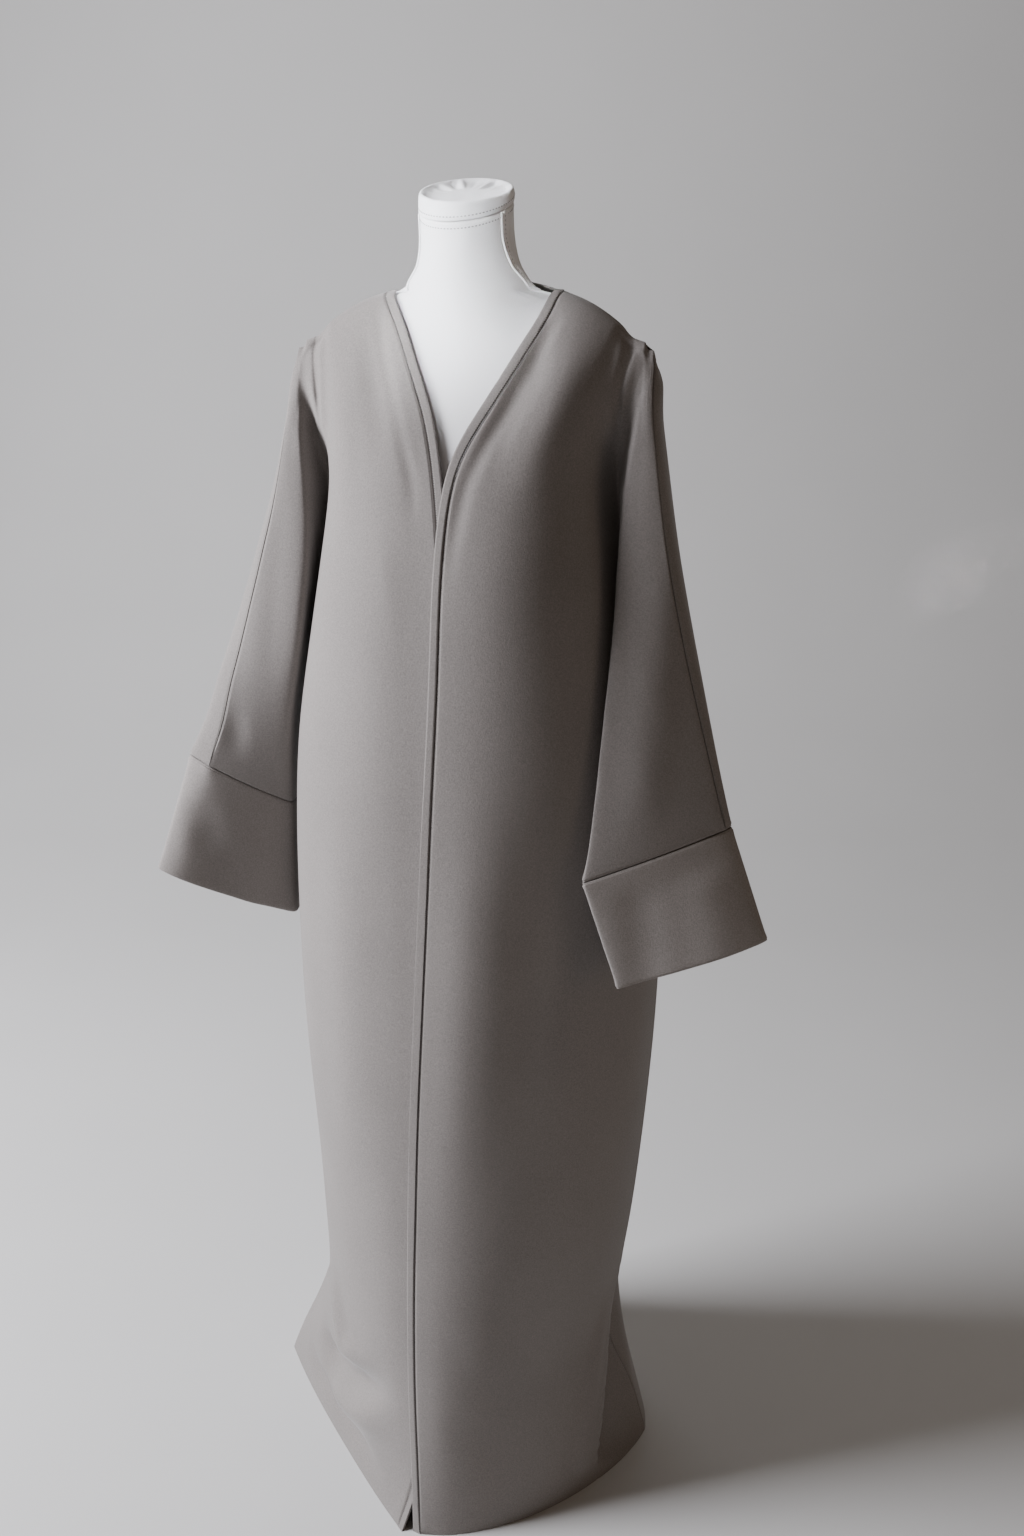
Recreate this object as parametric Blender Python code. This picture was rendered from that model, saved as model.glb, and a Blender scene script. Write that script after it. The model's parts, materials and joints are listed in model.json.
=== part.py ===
"""Abaya cloak standing on a limbless dress form.

The cloak is cut from two fronts and one back, each with its half of both
sleeves grown on, so the only sleeve seams run over the arm and under it.
Deep straight cuffs finish the sleeves and a narrow band edges the neck and
both fronts.  Every cloth piece is a wall of real thickness: its outer face is
computed row by row from the tables below and its inner face is that face
moved in along the normals.

Frame: metres, +Z up, origin on the floor under the form's pole, the fronts
face -Y, the wearer's left is +X.  Tables are in millimetres.
"""
import math

import bmesh
import bpy
import numpy as np
from mathutils.kdtree import KDTree

MM = 0.001

# ---------------------------------------------------------------- cloth sizes
WALL = 1.6 * MM             # one layer of heavy crepe, as built
BAND_WALL = 2.6 * MM        # the edge bands are doubled cloth
BAND_RAISE = 0.4 * MM       # doubled cloth stands this far proud of the panel
CUFF_WALL = 2.2 * MM        # the cuffs are a folded double layer
SEAM = 0.3 * MM             # gap between two pieces that are sewn together
BAND_WIDTH = 10.0 * MM      # finished width of the edge band
UNDERLAP_DROP = 4.5 * MM    # how far the right front tucks in below the left
UNDERLAP_START = 60.0 * MM  # distance from the centre where the tuck begins
UNDERLAP_FULL = 15.0 * MM   # distance from the centre where it is complete
UNDERLAP_END = 40.0 * MM    # below this height the fronts part again

# ------------------------------------------------------------ shoulder line
NECK_POINT = (86.0 * MM, 0.0, 1450.0 * MM)       # side neck, finished edge
SHOULDER_TIP = (191.0 * MM, -18.0 * MM, 1391.0 * MM)
SHOULDER_CURVE = 1.75       # 1 is a straight slope, more droops at the tip
NECK_SLOPE = 0.42           # rise of the line inside the neck point
BACK_NECK = (0.0, 66.0 * MM, 1463.0 * MM)        # centre back, finished edge
NECK_OVAL = 0.85            # the back neck is this much flatter than a circle
NECK_FALL = (0.03, 1.1)     # slope of the cloth beside it, at the shoulder and centre
CHEST_LEVEL = 1180.0 * MM   # below this the body is plain level sections
UNDERARM_LEVEL = 1080.0 * MM
V_LEVEL = 1265.0 * MM       # the fronts meet here

# ---------------------------------------------------- level sections of body
# Each side of the front is a superellipse quarter: half_width across, depth
# to the front, and a power that says how square (2.4) or kite-like (1.1) the
# corner is.  The back is one curve between the two side seams.
BODY_COLUMNS = ("height", "right_width", "left_width", "right_depth",
                "left_depth", "back_depth", "right_power", "left_power",
                "back_power")
BODY_SECTIONS = (
    (1400, 184, 184, 96, 96, 84, 2.4, 2.4, 2.6),
    (1360, 177, 177, 104, 104, 93, 2.4, 2.4, 2.6),
    (1310, 166, 166, 115, 115, 99, 2.4, 2.4, 2.6),
    (1255, 160, 160, 127, 127, 103, 2.4, 2.4, 2.6),
    (1180, 169, 169, 149, 149, 108, 2.4, 2.4, 2.5),
    (1080, 189, 189, 163, 163, 117, 2.3, 2.3, 2.4),
    (970, 209, 208, 177, 177, 128, 2.2, 2.2, 2.3),
    (850, 219, 219, 188, 188, 140, 2.1, 2.1, 2.3),
    (640, 221, 219, 200, 200, 150, 2.0, 2.05, 2.2),
    (350, 209, 199, 213, 213, 158, 1.85, 1.95, 2.1),
    (200, 215, 184, 224, 224, 166, 1.6, 1.8, 2.0),
    (100, 250, 202, 233, 233, 178, 1.35, 1.65, 1.8),
    (50, 274, 216, 240, 239, 187, 1.2, 1.57, 1.75),
    (0, 292, 229, 264, 243, 196, 1.08, 1.5, 1.7),
)
# Finished front edges: distance from the centre toward the wearer's own side.
EDGE_COLUMNS = ("height", "right_edge", "left_edge")
EDGE_LINE = (
    (1450, 86, 86),
    (1425, 63, 81),
    (1400, 48, 68),
    (1370, 33, 53),
    (1333, 15, 32),
    (1300, 5, 13),
    (1265, -3, 3),
    (1190, -16, 1),
    (1060, -22, 0),
    (940, -24, -3),
    (780, -22, -9),
    (480, -14, -22),
    (310, -12, -25),
    (170, -8, -23),
    (60, 10, -17),
    (0, 27, -14),
)
# Share of the body width where the front dives into the valley beside the
# sleeve: it closes on the side seam at the underarm.
VALLEY_SHARE = ((0.0, 0.955), (0.4, 0.965), (0.625, 1.0))

# ------------------------------------------------------------- sleeve lines
# Lines down the sleeve by share of its length, 0 at the shoulder tip and 1 at
# the cuff seam: x outward, y back, z up.  "fold" is the front edge of the
# hanging sleeve, "seam" the overarm seam, "outer" the outer edge and "rear"
# the fullest part of its back.
SLEEVE_COLUMNS = ("share", "fold", "seam", "outer", "rear")
SLEEVE_LINES = {
    "left": (
        (0.0, (184, -17, 1393), (191, -18, 1391), (191, -16, 1391), (187, -10, 1392)),
        (0.06, (188, -36, 1368), (195, -30, 1369), (199, -22, 1369), (196, 0, 1370)),
        (0.2, (187, -55, 1300), (206, -49, 1304), (212, -36, 1306), (206, 16, 1302)),
        (0.4, (175, -71, 1193), (222, -59, 1206), (231, -46, 1210), (219, 24, 1203)),
        (0.6, (170, -104, 1082), (245, -68, 1110), (256, -54, 1114), (234, 18, 1105)),
        (0.8, (166, -132, 970), (273, -75, 1011), (284, -60, 1015), (250, -16, 1002)),
        (1.0, (162, -156, 861), (302, -82, 911), (312, -66, 914), (253, -76, 892)),
    ),
    "right": (
        (0.0, (184, -17, 1393), (191, -18, 1391), (191, -16, 1391), (187, -10, 1392)),
        (0.06, (188, -36, 1368), (195, -30, 1369), (199, -22, 1369), (196, 0, 1370)),
        (0.2, (187, -55, 1300), (203, -52, 1304), (212, -36, 1306), (206, 16, 1302)),
        (0.4, (176, -70, 1193), (219, -64, 1205), (236, -46, 1210), (221, 24, 1203)),
        (0.6, (179, -82, 1085), (242, -76, 1110), (265, -58, 1116), (238, 22, 1105)),
        (0.8, (203, -72, 980), (268, -87, 1018), (299, -72, 1026), (256, 6, 1010)),
        (1.0, (223, -42, 868), (303, -92, 925), (341, -84, 937), (272, -10, 903)),
    ),
}
# Underarm seam from the underarm down to the cuff seam.
UNDERARM_LINE = {
    "left": ((0.625, (189, 0, 1080)), (0.7, (205, -11, 1035)),
             (0.8, (211, -54, 978)), (0.9, (191, -105, 918)),
             (1.0, (167, -137, 863))),
    "right": ((0.625, (189, 0, 1080)), (0.7, (205, 0, 1033)),
              (0.8, (219, 2, 980)), (0.9, (228, 2, 924)),
              (1.0, (230, -8, 868))),
}
# Lower edge of each cuff: the same five corners.
CUFF_HEM = {
    "left": {"fold": (203, -158, 743), "outer": (359, -82, 794),
             "seam": (349, -95, 790), "rear": (290, -84, 770),
             "underarm": (208, -139, 745)},
    "right": {"fold": (225, -44, 723), "outer": (369, -132, 806),
              "seam": (334, -130, 792), "rear": (286, -42, 762),
              "underarm": (232, -14, 722)},
}
VALLEY_ROUND = 9.0 * MM     # how softly the cloth turns at each of these lines
FOLD_ROUND = 11.0 * MM
OUTER_ROUND = 14.0 * MM
REAR_ROUND = 34.0 * MM
TURN_REACH = 0.45           # a soft turn takes up at most this share of a face
FOLD_REACH = 0.3            # the front fold takes up at most this share of the inner face
VALLEY_REACH = 0.25         # and the valley this share
TURN_PULL = 0.32            # how strongly a turn's middle is drawn into its corner
INNER_PLACE = 0.8           # where along the inner face its extra point lies
TIP_SIZE = 0.15             # these rounds shrink to this share at the shoulder
TIP_GROWTH = 5.0            # and are whole again once share times this adds up to 1
FACE_BOW = 5.0 * MM         # fullness of the flat sleeve faces
FACE_FULL_WIDTH = 120.0 * MM    # a face this wide or wider is that full
UNDERARM_LEAN = 0.15        # lean of the cloth's thickness at the underarm point
CREASE_OPEN = (0.6, 1.6)    # depth of the crease's far side over its width, top and underarm
TIP_SEAM = 0.6              # sleeve seam's half gap over SEAM, twice this at the shoulder tip
CUFF_SEAM = 1.3             # the cuff's gap over SEAM
VALLEY_WIDTH = 7.0 * MM     # the crease between body and sleeve, side to side
SLEEVE_AIR = 8.0 * MM       # the sleeve's inner face hangs this far off the body

# ------------------------------------------------------------------ divisions
V_SHARE = 0.38              # the row that starts where the fronts meet
ARM_SHARES = (0.0, 0.004, 0.012, 0.035, 0.07, 0.115, 0.17, 0.235, 0.305, V_SHARE,
              0.46, 0.54, 0.625, 0.70, 0.80, 0.90, 1.0)
SLIT_ROW = ARM_SHARES.index(0.625)      # the underarm, where body leaves sleeve
SKIRT_HEIGHTS = (1035, 980, 920, 850, 770, 680, 590, 500, 410, 330, 260, 200,
                 150, 105, 65, 30, 0)
FRONT_STEPS = 12            # columns between the band and the valley
BACK_STEPS = 11             # columns of half the back between centre and valley
NECK_STEPS = 5              # how many of those lie under the back neck
NECK_ROWS_EVEN = 0.3        # from this share down the back's columns are evenly spaced
ROW_END = 0.2               # a row's turn into the valley is at most this share of it
FACE_STEPS = 4              # columns across the sleeve's front face
CUFF_ROWS = 5
PATH_POINTS = 90            # dense points used to walk along a row

# ----------------------------------------------------------------- dress form
FORM_CLEAR_TOP = 4.6 * MM   # the form under the cloth on the shoulders
FORM_CLEAR = 11.0 * MM      # and in from the chest and back
FORM_SECTIONS = (           # height, half width, front depth, back depth, power
    (1180, 150, 122, 92, 2.3),
    (1100, 134, 108, 82, 2.2),
    (1030, 124, 96, 74, 2.1),
    (960, 134, 98, 84, 2.1),
    (880, 155, 108, 104, 2.2),
    (820, 164, 112, 112, 2.3),
    (760, 163, 108, 110, 2.4),
    (744, 157, 103, 104, 2.4),
    (740, 148, 96, 96, 2.3),
)
FORM_SIDE_CLEAR = 7.0 * MM  # and in from the creases beside the sleeves
FORM_TIP_CLEAR = 18.0 * MM  # the form's shoulder ends this far inside the tip
FORM_CREASE_SHARE = 0.955   # the creases lie at this share of the body width
FORM_CREASE_TOP = 1390.0 * MM   # and begin at this height
FORM_CORNER = 2.4           # squareness of the form's chest and shoulders
FORM_SPREAD = 0.8           # below 1 crowds the ring's points to the shoulders
FORM_HEIGHTS = (1240, 1290, 1330, 1360, 1376, 1386, 1394, 1402, 1410, 1420,
                1430, 1440, 1450, 1460, 1470, 1480, 1495, 1512, 1532)
NECK_PROFILE = (            # half width of the form by height, neck to shoulder
    (1531, 51.0), (1515, 50.4), (1500, 50.6), (1488, 52.0), (1477, 55.5),
    (1468, 60.0), (1460, 68.0),
)
NECK_DEPTH = 54.0 * MM
NECK_LEAN_FROM = 1440.0 * MM
FORM_SIDES = 36
CAP_TILT = math.radians(20.0)
NECK_TOP = 1532.0 * MM      # where the cap sits on the neck, on its axis
NECK_TOP_LEAN = 9.0 * MM    # how far that point is in front of the pole
CAP_HALF_WIDTH = 51.0 * MM
CAP_HALF_DEPTH = 54.5 * MM
CAP_SHAPE = (               # share of the half width, rise above the neck top
    (0.95, 0.0), (1.0, 1.5), (1.012, 8.0), (1.0, 11.0), (0.96, 12.6),
    (0.88, 12.0), (0.6, 9.8), (0.25, 9.0),
)
POLE_RADIUS = 12.5 * MM
POLE_SIDES = 20
BASE_RADIUS = 150.0 * MM
BASE_THICK = 12.0 * MM
BASE_EDGE = 2.0 * MM
BASE_SIDES = 40

CLOTH_COLOUR = (0.30, 0.27, 0.25, 1.0)
JERSEY_COLOUR = (0.80, 0.80, 0.79, 1.0)
STEEL_COLOUR = (0.55, 0.56, 0.57, 1.0)
CLOTH_ROUGHNESS = 0.85
JERSEY_ROUGHNESS = 0.8
STEEL_ROUGHNESS = 0.35
SHARP_TURN = math.radians(50.0)         # edges that turn more than this are drawn sharp


# ------------------------------------------------------------------- numbers
def smooth_lookup(knots, values, at):
    """Cubic through hand-picked values, its slopes taken from the neighbours."""
    knots = np.asarray(knots, float)
    values = np.asarray(values, float)
    if knots[0] > knots[-1]:
        knots = knots[::-1]
        values = values[::-1]
    at = min(max(at, knots[0]), knots[-1])
    step = int(np.clip(np.searchsorted(knots, at) - 1, 0, len(knots) - 2))
    width = knots[step + 1] - knots[step]
    chords = [(values[i + 1] - values[i]) / (knots[i + 1] - knots[i])
              for i in range(len(knots) - 1)]

    def slope(i):
        if i == 0:
            return chords[0]
        if i == len(knots) - 1:
            return chords[-1]
        before = knots[i] - knots[i - 1]
        after = knots[i + 1] - knots[i]
        return (chords[i - 1] * after + chords[i] * before) / (before + after)

    t = (at - knots[step]) / width
    start = (2 * t ** 3 - 3 * t ** 2 + 1) * values[step]
    start = start + (t ** 3 - 2 * t ** 2 + t) * width * slope(step)
    end = (3 * t ** 2 - 2 * t ** 3) * values[step + 1]
    end = end + (t ** 3 - t ** 2) * width * slope(step + 1)
    return start + end


def column(table, names, name, height):
    """One named column of a table whose first column is a height in mm."""
    place = names.index(name)
    knots = [row[0] for row in table]
    return smooth_lookup(knots, [row[place] for row in table], height / MM)


def ease(t):
    t = min(max(t, 0.0), 1.0)
    return t * t * (3.0 - 2.0 * t)


def blend(a, b, t):
    return a + (b - a) * t


def walk(path, distances):
    """Points at the given arc lengths along a dense path."""
    path = np.asarray(path, float)
    runs = np.linalg.norm(np.diff(path, axis=0), axis=1)
    along = np.concatenate([[0.0], np.cumsum(runs)])
    return [np.array([np.interp(d, along, path[:, k]) for k in range(3)])
            for d in distances]


def length(path):
    return float(np.sum(np.linalg.norm(np.diff(np.asarray(path), axis=0), axis=1)))


def unit(vector):
    return vector / max(np.linalg.norm(vector), 1e-9)


def soft_corner(before, point, after, reach_in, reach_out):
    """Entry, middle and exit of a soft turn at a corner."""
    room_in = TURN_REACH * np.linalg.norm(before - point)
    room_out = TURN_REACH * np.linalg.norm(after - point)
    entry = point + unit(before - point) * min(reach_in, room_in)
    leave = point + unit(after - point) * min(reach_out, room_out)
    middle = blend(0.5 * (entry + leave), point, TURN_PULL)
    return entry, middle, leave


# ---------------------------------------------------------------- body shape
def ridge_height(x):
    """Height of the shoulder seam above a point at distance x from centre."""
    span = SHOULDER_TIP[0] - NECK_POINT[0]
    share = (x - NECK_POINT[0]) / span
    if share < 0.0:
        return NECK_POINT[2] - share * span * NECK_SLOPE
    return NECK_POINT[2] - (NECK_POINT[2] - SHOULDER_TIP[2]) * share ** SHOULDER_CURVE


def ridge_depth(x):
    span = SHOULDER_TIP[0] - NECK_POINT[0]
    share = min(max((x - NECK_POINT[0]) / span, 0.0), 1.0)
    return SHOULDER_TIP[1] * share


def wrap(x, z):
    """0 on the shoulder line, rising to 1 at chest level: a rounded shoulder."""
    top = ridge_height(x)
    share = (top - z) / (top - CHEST_LEVEL)
    share = min(max(share, 0.0), 1.0)
    return math.sin(0.5 * math.pi * math.sqrt(share))


def front_depth(side, x, z):
    """y of a front at signed distance x toward its own side."""
    width = column(BODY_SECTIONS, BODY_COLUMNS, side + "_width", z) * MM
    depth = column(BODY_SECTIONS, BODY_COLUMNS, side + "_depth", z) * MM
    power = column(BODY_SECTIONS, BODY_COLUMNS, side + "_power", z)
    reach = min(abs(x) / width, 1.0)
    full = -depth * (1.0 - reach ** power) ** (1.0 / power)
    start = ridge_depth(abs(x))
    y = start + (full - start) * wrap(abs(x), z)
    if side == "right":
        tuck = (UNDERLAP_START - x) / (UNDERLAP_START - UNDERLAP_FULL)
        y += UNDERLAP_DROP * ease(tuck) * ease(z / UNDERLAP_END)
    return y


def back_depth(side, x, z, start):
    width = column(BODY_SECTIONS, BODY_COLUMNS, side + "_width", z) * MM
    depth = column(BODY_SECTIONS, BODY_COLUMNS, "back_depth", z) * MM
    power = column(BODY_SECTIONS, BODY_COLUMNS, "back_power", z)
    reach = min(abs(x) / width, 1.0)
    full = depth * (1.0 - reach ** power) ** (1.0 / power)
    return start + (full - start) * wrap(abs(x), z)


def valley_width(side, share):
    height = blend(SHOULDER_TIP[2], UNDERARM_LEVEL, share / ARM_SHARES[SLIT_ROW])
    width = column(BODY_SECTIONS, BODY_COLUMNS, side + "_width", height) * MM
    knots = [row[0] for row in VALLEY_SHARE]
    return width * smooth_lookup(knots, [row[1] for row in VALLEY_SHARE], share)


def edge_height(share):
    """Height of the front edge on the row that has this share on the sleeve."""
    if share <= V_SHARE:
        return blend(NECK_POINT[2], V_LEVEL, share / V_SHARE)
    return blend(V_LEVEL, UNDERARM_LEVEL,
                 (share - V_SHARE) / (ARM_SHARES[SLIT_ROW] - V_SHARE))


def row_height(u, share, top, start_drop, start_level):
    """Rows follow the shoulder slope at the top and level out by the underarm."""
    valley = blend(SHOULDER_TIP[2], UNDERARM_LEVEL, share / ARM_SHARES[SLIT_ROW])
    sloped = top - blend(start_drop, SHOULDER_TIP[2] - valley, u)
    return blend(sloped, blend(start_level, valley, u), ease(share / ARM_SHARES[SLIT_ROW]))


def front_path(side, share):
    """Dense body path of one row, from the finished edge to the valley."""
    z_edge = edge_height(share)
    x_edge = column(EDGE_LINE, EDGE_COLUMNS, side + "_edge", z_edge) * MM
    x_end = valley_width(side, share)
    start_drop = ridge_height(abs(x_edge)) - z_edge
    path = []
    for i in range(PATH_POINTS + 1):
        u = math.sin(0.5 * math.pi * i / PATH_POINTS)
        x = blend(x_edge, x_end, u)
        z = row_height(u, share, ridge_height(abs(x)), start_drop, z_edge)
        path.append((x, front_depth(side, x, z), z))
    return np.array(path)


def skirt_path(side, z):
    """Level row of a front below the underarm, edge to side seam."""
    x_edge = column(EDGE_LINE, EDGE_COLUMNS, side + "_edge", z) * MM
    x_end = column(BODY_SECTIONS, BODY_COLUMNS, side + "_width", z) * MM
    path = []
    for i in range(PATH_POINTS + 1):
        x = blend(x_edge, x_end, math.sin(0.5 * math.pi * i / PATH_POINTS))
        path.append((x, front_depth(side, x, z), z))
    return np.array(path)


def neck_curve(angle):
    """Finished back neck edge: 0 at the neck point, 90 degrees at centre back."""
    x = NECK_POINT[0] * math.cos(angle)
    y = BACK_NECK[1] * math.sin(angle)
    z = blend(NECK_POINT[2], BACK_NECK[2], math.sin(angle) ** 2)
    return np.array((x, y, z))


def neck_seam(angle, width):
    """The same edge moved out and down onto the shoulders and back."""
    edge = neck_curve(angle)
    across = np.array((math.cos(angle), NECK_OVAL * math.sin(angle), 0.0))
    fall = blend(*NECK_FALL, math.sin(angle) ** 2)
    return edge + unit(across + np.array((0.0, 0.0, -fall))) * width


def back_path(side, share):
    """Dense half row of the back above the underarm, centre to valley."""
    x_end = valley_width(side, share)
    neck = np.array([neck_seam(0.5 * math.pi * (1.0 - i / PATH_POINTS), BAND_WIDTH + SEAM)
                     for i in range(PATH_POINTS + 1)])
    inner = neck[-1, 0]
    start_drop = (neck[0, 2] - UNDERARM_LEVEL) * share / ARM_SHARES[SLIT_ROW]
    points = []
    for i in range(PATH_POINTS + 1):
        u = math.sin(0.5 * math.pi * i / PATH_POINTS)
        x = x_end * u
        if x < inner:
            start = float(np.interp(x, neck[:, 0], neck[:, 1]))
            top = float(np.interp(x, neck[:, 0], neck[:, 2]))
        else:
            top = ridge_height(x)
            start = ridge_depth(x)
        z = row_height(u, share, top, start_drop, neck[0, 2] - start_drop)
        fallen = (top - z) / (top - CHEST_LEVEL)
        turn = math.sin(0.5 * math.pi * math.sqrt(min(max(fallen, 0.0), 1.0)))
        full = back_depth(side, x, z, 0.0) / max(wrap(x, z), 1e-6)
        points.append((x, start + (full - start) * turn, z))
    return np.array(points)


def back_skirt_path(side, z):
    x_end = column(BODY_SECTIONS, BODY_COLUMNS, side + "_width", z) * MM
    path = []
    for i in range(PATH_POINTS + 1):
        x = x_end * math.sin(0.5 * math.pi * i / PATH_POINTS)
        path.append((x, back_depth(side, x, z, 0.0), z))
    return np.array(path)


# -------------------------------------------------------------- sleeve shape
def sleeve_point(side, line, share):
    rows = SLEEVE_LINES[side]
    place = SLEEVE_COLUMNS.index(line)
    knots = [row[0] for row in rows]
    values = np.array([row[place] for row in rows], float) * MM
    return np.array([smooth_lookup(knots, values[:, k], share) for k in range(3)])


def underarm_point(side, share):
    rows = UNDERARM_LINE[side]
    knots = [row[0] for row in rows]
    values = np.array([row[1] for row in rows], float) * MM
    return np.array([smooth_lookup(knots, values[:, k], share) for k in range(3)])


def bowed(start, end, steps, outward):
    """Points between two corners, the face slightly full toward outward."""
    points = []
    for i in range(1, steps):
        t = i / steps
        points.append(blend(start, end, t) + outward * 4.0 * t * (1.0 - t))
    return points


def body_reach(side, y, z):
    """Distance from centre to the body's front face at depth y."""
    width = column(BODY_SECTIONS, BODY_COLUMNS, side + "_width", z) * MM
    depth = column(BODY_SECTIONS, BODY_COLUMNS, side + "_depth", z) * MM
    power = column(BODY_SECTIONS, BODY_COLUMNS, side + "_power", z)
    return width * (1.0 - min(abs(y) / depth, 1.0) ** power) ** (1.0 / power)


def sleeve_front(side, corners, size):
    """From beside the valley to the overarm seam: inner face, fold, face."""
    start, fold, seam = corners["start"], corners["fold"], corners["seam"]
    inner = blend(start, fold, 0.5)
    inner[0] = max(inner[0], body_reach(side, inner[1], inner[2]) + SLEEVE_AIR * size)
    span = np.linalg.norm(fold - start)
    entry, middle, after = soft_corner(inner, fold, seam, min(FOLD_ROUND * size, FOLD_REACH * span),
                                       FOLD_ROUND * size)
    if "leave" in corners:
        leave = corners["leave"]
    else:
        leave = start + unit(inner - start) * min(VALLEY_ROUND, VALLEY_REACH * span)
    fullness = FACE_BOW * min(1.0, np.linalg.norm(seam - after) / FACE_FULL_WIDTH)
    face = bowed(after, seam, FACE_STEPS, np.array((0.0, -fullness, 0.0)))
    end = seam + unit(after - seam) * TIP_SEAM * SEAM * (2.0 - size)
    return [leave, blend(leave, inner, INNER_PLACE), entry, middle, after] + face + [end]


def sleeve_back(corners, size):
    """From beside the valley to the overarm seam round the sleeve's back."""
    start, rear, outer, seam = corners["start"], corners["rear"], corners["outer"], corners["seam"]
    if "leave" in corners:
        leave = corners["leave"]
    else:
        leave = start + unit(rear - start) * VALLEY_ROUND
    entry, middle, after = soft_corner(leave, rear, outer, REAR_ROUND * size, REAR_ROUND * size)
    out_in, out_middle, out_on = soft_corner(rear, outer, seam, OUTER_ROUND * size,
                                             OUTER_ROUND * size)
    end = seam + unit(outer - seam) * TIP_SEAM * SEAM * (2.0 - size)
    return [leave, entry, middle, after, blend(after, out_in, 0.5), out_in, out_middle,
            out_on, end]


def valley_turn(end, facing, size, share):
    """Floor and far side of the crease between body and sleeve."""
    width = VALLEY_WIDTH * size
    down = ease(share / ARM_SHARES[SLIT_ROW])
    floor = end + np.array((0.5 * width, 0.0, 0.0))
    far = end + np.array((width, facing * width * blend(*CREASE_OPEN, down), 0.0))
    return floor, far


def sleeve_corners(side, share):
    return {line: sleeve_point(side, line, share) for line in SLEEVE_COLUMNS[1:]}


# ------------------------------------------------------------- making meshes
class Sheet:
    """Outer face of a cloth piece: named grid points and the quads on them."""

    def __init__(self):
        self.points = []
        self.quads = []
        self.names = {}
        self.shoulder = []
        self.underarm = []

    def put(self, name, point, on_shoulder=False):
        if on_shoulder:
            self.shoulder.append(len(self.points))
        self.names[name] = len(self.points)
        self.points.append(np.array(point, float))

    def quad(self, a, b, c, d, flip):
        corners = [self.names[n] for n in (a, b, c, d)]
        if flip:
            corners.reverse()
        self.quads.append(tuple(corners))


def vertex_normals(points, quads):
    normals = np.zeros((len(points), 3))
    for quad in quads:
        a, b, c, d = (points[i] for i in quad)
        face = np.cross(c - a, d - b)
        for i in quad:
            normals[i] += face
    return np.array([unit(n) for n in normals])


def seam_normals(sheets):
    """Normals of every sheet, shared where two pieces meet at a seam."""
    own = [vertex_normals(np.array(sheet.points), sheet.quads) for sheet in sheets]
    every_point = np.concatenate([np.array(sheet.points) for sheet in sheets])
    every_normal = np.concatenate(own)
    tree = KDTree(len(every_point))
    for i, point in enumerate(every_point):
        tree.insert(point, i)
    tree.balance()
    shared = []
    for sheet in sheets:
        normals = []
        for i, point in enumerate(sheet.points):
            near = [index for _, index, _ in tree.find_range(point, 2.0 * SEAM)]
            normal = every_normal[near].sum(axis=0)
            if i in sheet.shoulder:
                normal[1] = 0.0
            if i in sheet.underarm:
                normal[0] = math.copysign(UNDERARM_LEAN * normal[2], point[0])
                normal[1] = 0.0
            if point[2] < 0.01 * MM:
                normal[2] = 0.0
            normals.append(unit(normal))
        shared.append(np.array(normals))
    return shared


def cloth_walls(pieces):
    """Close each sheet into a wall by moving its points in along the normals."""
    all_normals = seam_normals([piece[1] for piece in pieces])
    for (name, sheet, thickness, raised, material), normals in zip(pieces, all_normals):
        points = np.array(sheet.points)
        mesh = bmesh.new()
        outer = [mesh.verts.new(p + n * raised) for p, n in zip(points, normals)]
        inner = [mesh.verts.new(p + n * (raised - thickness))
                 for p, n in zip(points, normals)]
        used = set()
        for quad in sheet.quads:
            mesh.faces.new([outer[i] for i in quad])
            mesh.faces.new([inner[i] for i in reversed(quad)])
            used.update((quad[i], quad[(i + 1) % 4]) for i in range(4))
        for a, b in sorted(used):
            if (b, a) not in used:
                mesh.faces.new([outer[b], outer[a], inner[a], inner[b]])
        finish_object(name, mesh, material)


def finish_object(name, mesh, material):
    mesh.normal_update()
    data = bpy.data.meshes.new(name)
    mesh.to_mesh(data)
    mesh.free()
    data.materials.append(material)
    data.shade_smooth()
    data.set_sharp_from_angle(angle=SHARP_TURN)
    thing = bpy.data.objects.new(name, data)
    bpy.context.scene.collection.objects.link(thing)
    return thing


def make_material(name, colour, roughness, metallic):
    material = bpy.data.materials.new(name)
    material.use_nodes = True
    shader = material.node_tree.nodes["Principled BSDF"]
    shader.inputs["Base Color"].default_value = colour
    shader.inputs["Roughness"].default_value = roughness
    shader.inputs["Metallic"].default_value = metallic
    return material


def hand(side, point):
    """Table points are for either side; the wearer's left is +X."""
    sign = 1.0 if side == "left" else -1.0
    return np.array((point[0] * sign, point[1], point[2]))


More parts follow.
